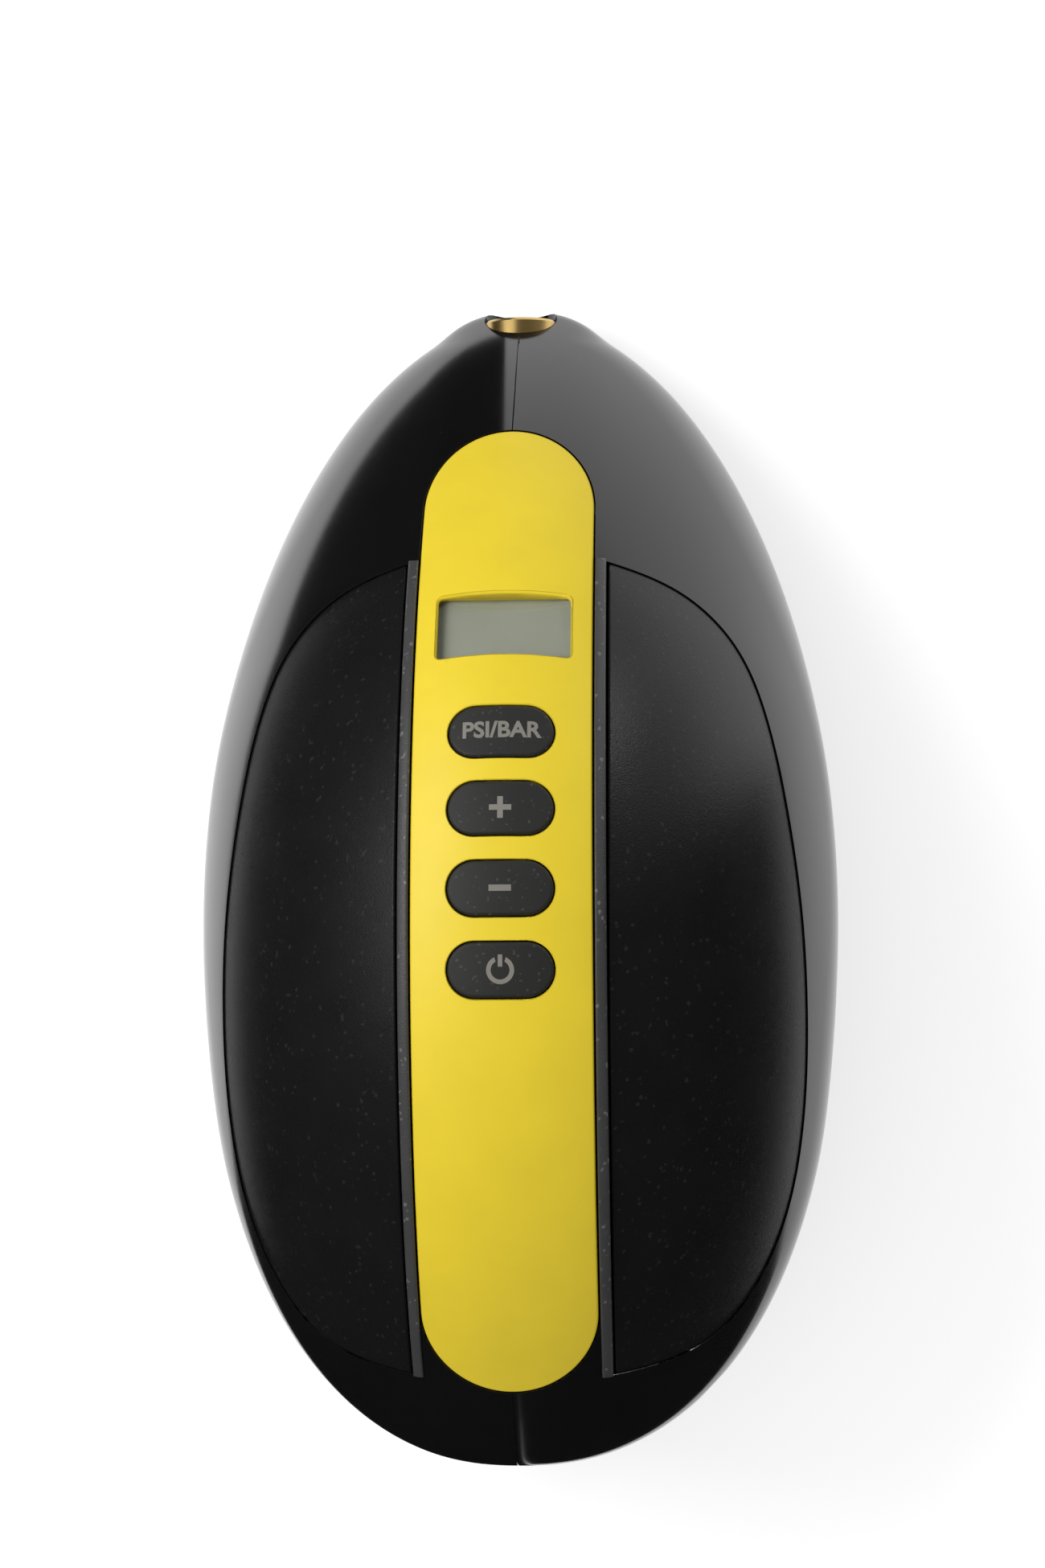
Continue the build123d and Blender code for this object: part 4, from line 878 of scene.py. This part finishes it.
turns = np.linspace(0, 2 * math.pi, 24, endpoint=False)
postRing = 2.0 * np.stack([np.cos(turns), np.sin(turns)], -1)
stripPosts = [plugSolid("stripPost", boardAngle, [
    (postRing + place, None, keys["boardDepth"], -math.pi / 2, 0),
    (postRing + place, console["thickness"] / 2, None, 0, math.pi / 2)]) for place in boardPosts]
carve(strip, [("UNION", piece) for piece in [surround] + stripPosts]
      + [("DIFFERENCE", cut) for cut in [opening, pocket] + holes])
discard([surround, opening, pocket] + holes + stripPosts)
polish(strip, [crownRule(inset, 0.012, 0.97) for inset in (0.0, console["thickness"])], 35.0)
dress(strip, "housing", "console_yellow", "console_strip")
print("console strip", len(strip.data.polygons), "faces")

pane = boxPlug("displayPane", display["angle"], *paneHalf, 0.4, display["paneDepth"], moduleDepth)
dress(pane, "housing", "display_window", "display_pane")
module = boxPlug("displayModule", display["angle"], *paneHalf, 0.3, moduleDepth + 0.01, displayBack)
dress(module, "housing", "display_grey", "display_module")


# Keys and their printed marks.
def keyPiece(name, angle):
    edge = keys["edge"]
    around = np.arctan2(keyOutline(0)[:, 1], keyOutline(0)[:, 0])
    stem = keys["stem"] * np.stack([np.cos(around), np.sin(around)], -1)
    wide, plain = keyOutline(keys["flange"]), keyOutline(0)
    flangeTop = console["thickness"] + 0.3
    stemReach = form["backRadius"] - keys["boardDepth"] + keys["stemTop"]
    stemEnd = form["backRadius"] - stemReach / math.cos(math.radians(angle - boardAngle))
    levels = [
        (stem, None, stemEnd, -math.pi / 2, 0), (stem, None, keys["flangeDepth"], 0, -math.pi / 2),
        (wide, None, keys["flangeDepth"], -math.pi / 2, 0), (wide, flangeTop, None, 0, math.pi / 2),
        (plain, flangeTop, None, math.pi / 2, 0),
    ]
    outward = outwardNormals(plain)
    for lift in np.linspace(0, math.pi / 2, 7):
        outline = plain - outward * edge * (1 - math.cos(lift))
        levels.append((outline, edge * (1 - math.sin(lift)) - keys["proud"], None, lift, lift))
    return plugSolid(name, angle, levels, 10, -keys["proud"])


marks = {
    "raise": 0.035, "sink": 0.12, "letter": 3.95, "bar": 0.95, "arm": 3.7,
    "ring": (1.55, 2.3), "stroke": 0.75,
}


def markPiece(name, angle, outlines):
    # flat shapes on the key, wrapped to its crown as a thin closed print
    curve = bpy.data.curves.new(name, "CURVE")
    curve.dimensions, curve.fill_mode, curve.extrude = "2D", "BOTH", 1.0
    for outline in outlines:
        spline = curve.splines.new("POLY")
        spline.points.add(len(outline) - 1)
        for point, (x, s) in zip(spline.points, outline):
            point.co = (x, s, 0, 1)
        spline.use_cyclic_u = True
    return wrapMark(name, angle, curve)


def wrapMark(name, angle, curve):
    flat = addPiece(name + "Flat", curve)
    mesh = finalMesh(flat)
    bpy.data.objects.remove(flat)
    work = bmesh.new()
    work.from_mesh(mesh)
    bmesh.ops.remove_doubles(work, verts=work.verts, dist=1e-5)
    bmesh.ops.triangulate(work, faces=work.faces)
    long = [edge for edge in work.edges if edge.calc_length() > 1.2]
    bmesh.ops.subdivide_edges(work, edges=long, cuts=2)
    bmesh.ops.triangulate(work, faces=work.faces)
    places = np.array([v.co for v in work.verts])
    upper = places[:, 2] > 0
    top = backAt(angle, places[:, 0], places[:, 1], -keys["proud"] - marks["raise"])[0]
    low = backAt(angle, places[:, 0], places[:, 1], -keys["proud"] + marks["sink"])[0]
    for v, point in zip(work.verts, np.where(upper[:, None], top, low) * mm):
        v.co = point
    bmesh.ops.recalc_face_normals(work, faces=work.faces)
    work.to_mesh(mesh)
    work.free()
    mesh.shade_smooth()
    mesh.set_sharp_from_angle(angle=math.radians(40))
    return addPiece(name, mesh)


def ringPoints(radius, start, end, count=40):
    turns = np.linspace(math.radians(start), math.radians(end), count)
    return [(radius * math.sin(t), radius * math.cos(t)) for t in turns]


def plusPoints(arm, half):
    return [(-half, -arm), (half, -arm), (half, -half), (arm, -half), (arm, half), (half, half), (half, arm),
            (-half, arm), (-half, half), (-arm, half), (-arm, -half), (-half, -half)]


arm, half = marks["arm"] / 2, marks["bar"] / 2
inner, outer = marks["ring"]
symbols = {
    "minus": [boxPoints(arm, half * 1.1)],
    "plus": [plusPoints(arm, half)],
    "power": [ringPoints(outer, 24, 336) + ringPoints(inner, 332, 28),
              boxPoints(marks["stroke"] / 2, 1.0, (0, outer - marks["stroke"]))],
}
for keyName, angle in zip(keys["names"], keyAngles):
    bodyName = f"button_{keyName}_body"
    dress(keyPiece(f"key_{keyName}", angle), bodyName, "key_grey", f"button_{keyName}")
    if keyName in symbols:
        mark = markPiece(f"mark_{keyName}", angle, symbols[keyName])
    else:
        words = bpy.data.curves.new("unitWords", "FONT")
        words.body, words.size, words.extrude = "PSI/BAR", marks["letter"], 1.0
        words.align_x, words.align_y, words.resolution_u, words.offset = "CENTER", "CENTER", 4, 0.12
        mark = wrapMark("mark_units", angle, words)
    dress(mark, bodyName, "key_grey", finish="markPrint")
print("keys made")


# Turned pieces set at points: fasteners, feet and cells.
class Grower(Weaver):
    def __init__(self, name, *labels):
        self.tree = bpy.data.node_groups.new(name, "GeometryNodeTree")
        self.tree.is_modifier = True
        face = self.tree.interface
        face.new_socket("points", in_out="INPUT", socket_type="NodeSocketGeometry")
        kinds = dict.fromkeys(labels, "NodeSocketFloat") | {"finish": "NodeSocketMaterial"}
        self.keys = {label: face.new_socket(label, in_out="INPUT", socket_type=kind).identifier
                     for label, kind in kinds.items()}
        face.new_socket("made", in_out="OUTPUT", socket_type="NodeSocketGeometry")
        entry = self.tree.nodes.new("NodeGroupInput")
        self.given = {socket.name: Signal(self, socket) for socket in entry.outputs if socket.name}

    def end(self, geometry):
        whole = self.node("GeometryNodeRealizeInstances", {}, {0: geometry})
        paint = {"Geometry": whole, "Material": self.given["finish"]}
        painted = self.node("GeometryNodeSetMaterial", {}, paint)
        self.tree.links.new(painted.socket, self.tree.nodes.new("NodeGroupOutput").inputs[0])


def turnedTree(name, profile, around=32, along=120, driven=False, ridged=False):
    # profile is radius against height, both as shares; seat is the share of the length below the point
    grower = Grower(name, "radius", "length", "seat", "threadDepth", "threadPitch", "threadEnd",
                    "driveRadius", "driveDepth", "ridgeDepth", "ridgeCount")
    given = grower.given
    rod = grower.node("GeometryNodeMeshCylinder", {"fill_type": "TRIANGLE_FAN"}, {
        "Vertices": around, "Side Segments": along, "Fill Segments": 28 if ridged else 3,
        "Radius": 1.0, "Depth": 1.0})
    x, y, z = grower.parts(grower.node("GeometryNodeInputPosition"))
    share = z + 0.5
    curve = grower.node("ShaderNodeFloatCurve", {}, {"Value": share})
    mapping = curve.socket.node.mapping
    points = mapping.curves[0].points
    while len(points) < len(profile):
        points.new(0.5, 0.5)
    for point, place in zip(points, profile):
        point.location, point.handle_type = place, "VECTOR"
    mapping.update()
    angle = grower.maths("ARCTAN2", y, x) / (2 * math.pi)
    wave = grower.maths("PINGPONG", share * given["length"] / given["threadPitch"] + angle, 0.5) * 2
    below = grower.maths("LESS_THAN", share, given["threadEnd"])
    reach = given["radius"] * curve - given["threadDepth"] * wave * below
    height = (share - given["seat"]) * given["length"]
    if ridged:
        across = grower.maths("SQRT", x * x + y * y)
        ripple = 0.5 - grower.maths("COSINE", across * given["ridgeCount"] * 2 * math.pi) * 0.5
        onFace = grower.maths("LESS_THAN", share, 0.001) * grower.maths("LESS_THAN", across, 0.86)
        height = height + ripple * onFace * given["ridgeDepth"]
    place = grower.node("ShaderNodeCombineXYZ", {}, {0: x * reach, 1: y * reach, 2: height})
    body = grower.node("GeometryNodeSetPosition", {}, {"Geometry": rod, "Position": place})
    if driven:
        socket = grower.node("GeometryNodeMeshCylinder", {"fill_type": "TRIANGLE_FAN"}, {
            "Vertices": 6, "Side Segments": 1, "Fill Segments": 1,
            "Radius": given["driveRadius"], "Depth": given["driveDepth"] * 2})
        top = grower.node("ShaderNodeCombineXYZ", {}, {2: (1 - given["seat"]) * given["length"]})
        socket = grower.node("GeometryNodeTransform", {}, {"Geometry": socket, "Translation": top})
        body = grower.node("GeometryNodeMeshBoolean", {"operation": "DIFFERENCE", "solver": "FLOAT"}, {
            "Mesh 1": body, "Mesh 2": socket})
    axis = grower.node("GeometryNodeInputNamedAttribute", {"data_type": "FLOAT_VECTOR"}, {"Name": "axis"})
    lean = grower.node("FunctionNodeAlignRotationToVector", {"axis": "Z"}, {"Vector": axis})
    grower.end(grower.node("GeometryNodeInstanceOnPoints", {}, {
        "Points": given["points"], "Instance": body, "Rotation": lean}))
    return grower


def grow(name, grower, places, axis, finish, sizes):
    # a size that is left out stays zero
    mesh = bpy.data.meshes.new(name)
    mesh.from_pydata((np.array(places, float) * mm).tolist(), [], [])
    leans = np.broadcast_to(np.array(axis, float), (len(places), 3))
    mesh.attributes.new("axis", "FLOAT_VECTOR", "POINT").data.foreach_set("vector", leans.ravel())
    piece = addPiece(name, mesh)
    growth = piece.modifiers.new("growth", "NODES")
    growth.node_group = grower.tree
    for label, value in sizes.items():
        growth[grower.keys[label]] = float(value)
    growth[grower.keys["finish"]] = finishes[finish]
    made = finalMesh(piece)
    piece.modifiers.remove(growth)
    piece.data = made
    bpy.data.meshes.remove(mesh)
    made.shade_smooth()
    made.set_sharp_from_angle(angle=math.radians(32))
    return piece


# radii, lengths and pitch in millimetres; the head stands on the plane of its places
screw = {"shank": 1.5, "head": 2.8, "rise": 2.0, "drive": 1.3, "pitch": 1.1, "cut": 0.28, "finish": "steel"}
fine = {**screw, "pitch": 0.5, "cut": 0.16}
boardLean = math.radians(boardAngle)
boardOut = np.array([0, math.sin(boardLean), math.cos(boardLean)])
boardAlong = np.array([0, math.cos(boardLean), -math.sin(boardLean)])
boardThickness = 1.6
boardReach = form["backRadius"] - keys["boardDepth"] - boardThickness
boardUnder = np.array([0, *backCentre]) + boardOut * boardReach
screwKinds = {
    "housing_screws": {**screw, "length": 16.0, "pitch": 1.3, "cut": 0.32, "axis": alongX,
                       "finish": "dark_steel",
                       "places": [(shell["wellFrom"], y, z) for y, z in bossPlaces]},
    "frame_screws": {**screw, "length": 6.0, "axis": upward,
                     "places": [(x, y, 10.5) for x in (-16.0, 26.0) for y in (-34.0, 14.0)]},
    "tray_screws": {**screw, "length": 5.0, "axis": upward, "places": [(-22, -67, 9.5), (22, -67, 9.5)]},
    "head_bolts": {**fine, "length": 36.4, "drive": 1.4, "axis": alongY,
                   "places": [(x, 59.5, z) for x in (1.4, 26.6) for z in (20.4, 45.6)]},
    "motor_screws": {**fine, "length": 6.0, "axis": alongX,
                     "places": [(2.0, -26.0, z) for z in (20.5, 45.5)]},
    "board_screws": {**screw, "shank": 1.0, "length": 6.0, "head": 1.9, "rise": 1.2, "drive": 0.9,
                     "pitch": 0.8, "cut": 0.2, "axis": -boardOut,
                     "places": [boardUnder + boardAlong * s + x * alongX for x, s in boardPosts]},
}
for name, kind in screwKinds.items():
    whole, thin = kind["length"] + kind["rise"], kind["shank"] / kind["head"]
    seat = kind["length"] / whole
    crest = 1 - 0.4 / whole
    profile = [(0, thin * 0.6), (0.8 / whole, thin), (seat - 0.006, thin), (seat, 1.0), (crest, 1.0),
               ((crest + 1) / 2, 0.965), (1, 0.86)]
    grower = turnedTree(name, profile, driven=True, along=int(min(60 + whole * 4, 150)))
    piece = grow(f"turned_{name}", grower, kind["places"], kind["axis"], kind["finish"], {
        "radius": kind["head"] * mm, "length": whole * mm, "seat": seat, "threadDepth": kind["cut"] * mm,
        "threadPitch": kind["pitch"] * mm, "threadEnd": seat * 0.86, "driveRadius": kind["drive"] * mm,
        "driveDepth": 0.6 * kind["rise"] * mm})
    dress(piece, "housing", kind["finish"], name)
    print(name, len(piece.data.polygons), "faces")

footProfile = [(0, 0.9), (0.05, 0.945), (0.13, 0.985), (0.22, 1.0), (0.7, 1.0), (0.74, 0.985), (1, 0.985)]
footTree = turnedTree("rubberFeet", footProfile, around=64, along=60, ridged=True)
feet = grow("rubberFeet", footTree, [(x, y, 0) for x, y in footPlaces], upward, "seal_rubber", {
    "radius": 7 * mm, "length": 4 * mm, "ridgeDepth": 0.35 * mm, "ridgeCount": 5.0})
dress(feet, "housing", "seal_rubber", "rubber_feet")
cellProfile = [(0, 0.86), (0.006, 0.97), (0.014, 1.0), (0.915, 1.0), (0.93, 0.955), (0.945, 1.0),
               (0.976, 1.0), (0.986, 0.95), (0.9885, 0.33), (1, 0.31)]
cellTree = turnedTree("batteryCells", cellProfile, around=48, along=220)
cellPlaces = [(-32.6, y, z) for y in (-76.5, -57.5) for z in (18.8, 37.8)]
cells = grow("batteryCells", cellTree, cellPlaces, alongX, "cell_wrap", {
    "radius": 9.2 * mm, "length": 66 * mm})
dress(cells, "housing", "cell_wrap", "battery_cells")
print("feet and cells made")


# Outlet fitting and charging inlet.
def turnedPiece(name, start, path, closed, thread=None, count=72):
    # solid turned about +Y from (distance, radius) pairs; a thread cuts outwards between two distances
    path = np.array(path, float)
    turns = np.linspace(0, 2 * math.pi, count, endpoint=False)
    along, reach = np.meshgrid(path[:, 0], turns, indexing="ij")[0], np.repeat(path[:, 1:], count, 1)
    if thread:
        turned = (along / thread["pitch"] + turns / (2 * math.pi)) % 1.0
        inside = (along > thread["from"]) & (along < thread["to"]) & (reach < thread["below"])
        reach = reach + thread["depth"] * (1 - np.abs(2 * turned - 1)) * inside
    points = np.stack([reach * np.sin(turns), along, reach * np.cos(turns)], -1) + start
    piece = loftSolid(name, list(points), closed)
    work = bmesh.new()
    work.from_mesh(piece.data)
    bmesh.ops.recalc_face_normals(work, faces=work.faces)
    if work.calc_volume(signed=True) < 0:
        bmesh.ops.reverse_faces(work, faces=work.faces)
    work.to_mesh(piece.data)
    work.free()
    piece.data.shade_smooth()
    piece.data.set_sharp_from_angle(angle=math.radians(28))
    return piece


outlet = {"back": 94.0, "bore": 4.28, "pitch": 0.907, "cut": 0.5, "hole": 1.6}
outletPath = [
    (-4.5, outlet["hole"]), (-4.5, 2.0), (-3.6, 2.6), (-3.3, 2.2), (-2.4, 2.6), (-2.1, 2.2), (-1.2, 2.6),
    (-0.9, 2.3), (0, 2.3), (0, 7.6), (0.2, 7.8), (2.1, 7.8), (2.3, 7.6), (2.3, 7.0), (10.5, 7.0),
    (11.0, 6.5), (11.0, 5.1), (10.8, 4.95), (10.1, 4.4),
]
outletPath += [(distance, outlet["bore"]) for distance in np.arange(10.0, 2.35, -0.1)]
outletPath += [(2.0, outlet["bore"]), (2.0, outlet["hole"])]
outletThread = {"pitch": outlet["pitch"], "depth": outlet["cut"], "from": 2.6, "to": 9.9, "below": 4.3}
outletStart = (0, outlet["back"], shell["portHeight"])
outletPiece = turnedPiece("outletFitting", outletStart, outletPath, True, outletThread)
dress(outletPiece, "housing", "brass", "outlet_fitting")
inletPath = [
    (13.0, 0.01), (13.0, 5.2), (12.7, 5.5), (8.8, 5.5), (8.8, 7.0), (8.7, 7.1), (7.1, 7.1), (7.0, 7.0),
    (7.0, 5.5), (0.5, 5.5), (0.15, 5.35), (0, 5.0), (0, 4.1), (0.25, 3.9), (0.25, 3.3), (0.0, 3.15),
    (0.1, 2.95), (0.5, 2.75), (9.5, 2.75), (9.5, 1.0), (0.9, 1.0), (0.5, 0.85), (0.25, 0.55), (0.2, 0.01),
]
inletPiece = turnedPiece("chargingInlet", (0, -107.0, shell["inletHeight"]), inletPath, False)
dress(inletPiece, "housing", "tray_black", "charging_inlet")
print("ports made")

# Finishes of the pieces that stay as model.glb has them.
plainFinishes = {
    "board_green": ("display_board", "control_board"),
    "switchBody": ("key_switches",),
    "sensorCase": ("pressure_sensor",),
    "armature": ("motor_armature",),
    "cast_aluminium": ("pump_frame", "cylinder_head"),
    "machinedBore": ("cylinder", "valve_plate"),
    "steel": ("crank_gear", "cell_links"),
    "turnedSteel": ("crank_shaft", "crank_bearings", "crank_pin", "rod_bearing", "wrist_pin", "motor_shaft"),
    "blueSpring": ("reed_valve",),
    "rolledCan": ("motor_can",),
    "brass": ("motor_pinion",),
    "piston_nylon": ("connecting_rod", "piston"),
    "seal_rubber": ("piston_seal", "head_gasket"),
    "tube_silicone": ("air_tube",),
    "magnet": ("motor_magnets",),
    "tray_black": ("motor_end_cap", "battery_tray"),
}
for finish, names in plainFinishes.items():
    for name in names:
        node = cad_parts[name]
        for place in node.material_slots:
            place.link, place.material = "OBJECT", finishes[finish]
        if not node.material_slots:
            node.data.materials.append(finishes[finish])
kept = sum(len(names) for names in plainFinishes.values())
print("pieces with their own model:", len(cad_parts) - kept)

# Floor, light and camera. Grey stands for the same amount of each colour.
stand = {"half": 3000.0, "grey": 0.82, "seen": 0.55, "mirrored": 0.5}
floorPlan = [(x, y, 0) for x, y in boxPoints(stand["half"], stand["half"])]
studioFloor = meshPiece("studioFloor", floorPlan, [(0, 1, 2, 3)])
floorFinish = Finish("studioFloor", Base_Color=(stand["grey"],) * 3, Roughness=0.9, Specular_IOR_Level=0.1,
                     Emission_Strength=1.0)
seen, mirrored, clear = (floorFinish.node("ShaderNodeLightPath", output=f"Is {kind} Ray")
                         for kind in ("Camera", "Glossy", "Transmission"))
floorFinish.shade("Emission_Color", (seen + clear) * stand["seen"] + mirrored * stand["mirrored"])
studioFloor.data.materials.append(floorFinish.material)

world = bpy.data.worlds.new("studioWorld")
scene.world = world
world.use_nodes = True
sky = Weaver()
sky.tree = world.node_tree
sky.tree.nodes.clear()
skyTones = {"diffuse": 0.52, "mirrored": ((0.0, 0.5), (0.12, 0.42), (0.3, 0.2), (0.6, 0.12), (1.0, 0.1))}
white = (1.0, 1.0, 1.0)
height = sky.parts(sky.node("ShaderNodeTexCoord", output="Generated"))[2]
dim = sky.node("ShaderNodeValToRGB", {"stops": skyTones["mirrored"]}, {0: height})
shades = ((white, skyTones["diffuse"]), (dim, 1.0), (white, 1.0))
plain, reflected, backdrop = (
    sky.node("ShaderNodeBackground", {}, {0: shade, 1: power}) for shade, power in shades)
seen, mirrored, clear = (sky.node("ShaderNodeLightPath", output=f"Is {kind} Ray")
                         for kind in ("Camera", "Glossy", "Transmission"))
either = sky.maths("MAXIMUM", mirrored, clear)
unseen = sky.node("ShaderNodeMixShader", {}, {0: either, 1: plain, 2: reflected})
whole = sky.node("ShaderNodeMixShader", {}, {0: seen, 1: unseen, 2: backdrop})
sky.feed(sky.tree.nodes.new("ShaderNodeOutputWorld").inputs[0], whole)


def softbox(name, heading, distance, width, height, radiance):
    # heading is where it lies seen from the object, radiance 1 looks white
    lamp = bpy.data.lights.new(name, "AREA")
    lamp.shape, lamp.size, lamp.size_y = "RECTANGLE", width * mm, height * mm
    lamp.energy = radiance * math.pi * width * height * mm * mm
    made = bpy.data.objects.new(name, lamp)
    scene.collection.objects.link(made)
    middle = Vector((0, 0, 70))
    place = middle + Vector(heading).normalized() * distance
    made.location = place * mm
    made.rotation_euler = (middle - place).to_track_quat("-Z", "Y").to_euler()
    return made


softbox("noseSoftbox", (0.64, 0.66, 0.4), 700, 120, 80, 9.0)
softbox("leftSoftbox", (-0.64, 0.3, 0.72), 430, 300, 120, 8.6)


def blackCard(name, start, end, reach, height):
    # curved black card that only mirrored rays meet, from one heading to another, 0 being the nose
    turns = np.radians(np.linspace(start, end, 40))
    points = [(reach[0] * math.sin(t), reach[1] * math.cos(t), z) for z in (1.0, height) for t in turns]
    faces = [(i, i + 1, i + 41, i + 40) for i in range(39)]
    card = meshPiece(name, points, faces)
    cardFinish = Finish(name, Base_Color=(0.015, 0.015, 0.015), Roughness=0.9, Specular_IOR_Level=0.1)
    card.data.materials.append(cardFinish.material)
    card.visible_camera = card.visible_diffuse = card.visible_shadow = card.visible_transmission = False


blackCard("leftCard", -180, -3, (128, 132), 380)
blackCard("rightCard", 72, 180, (160, 160), 380)

aim = {"place": (26.89, 28.87, 531.19), "pitch": -1.566, "lean": 3.051, "roll": -0.544, "lens": 60.6}
lens = bpy.data.cameras.new("lookDown")
lens.lens, lens.sensor_width = aim["lens"], 36.0
lens.clip_start, lens.clip_end = 0.01, 20.0
camera = bpy.data.objects.new("lookDown", lens)
scene.collection.objects.link(camera)
turned = Matrix.Identity(4)
for axis, angle in (("X", aim["pitch"]), ("Y", aim["lean"]), ("Z", aim["roll"])):
    turned = turned @ Matrix.Rotation(math.radians(angle), 4, axis)
camera.matrix_world = Matrix.Translation(Vector(aim["place"]) * mm) @ turned
scene.camera = camera
scene.view_settings.view_transform = "Standard"
print("stage, lights and camera made")
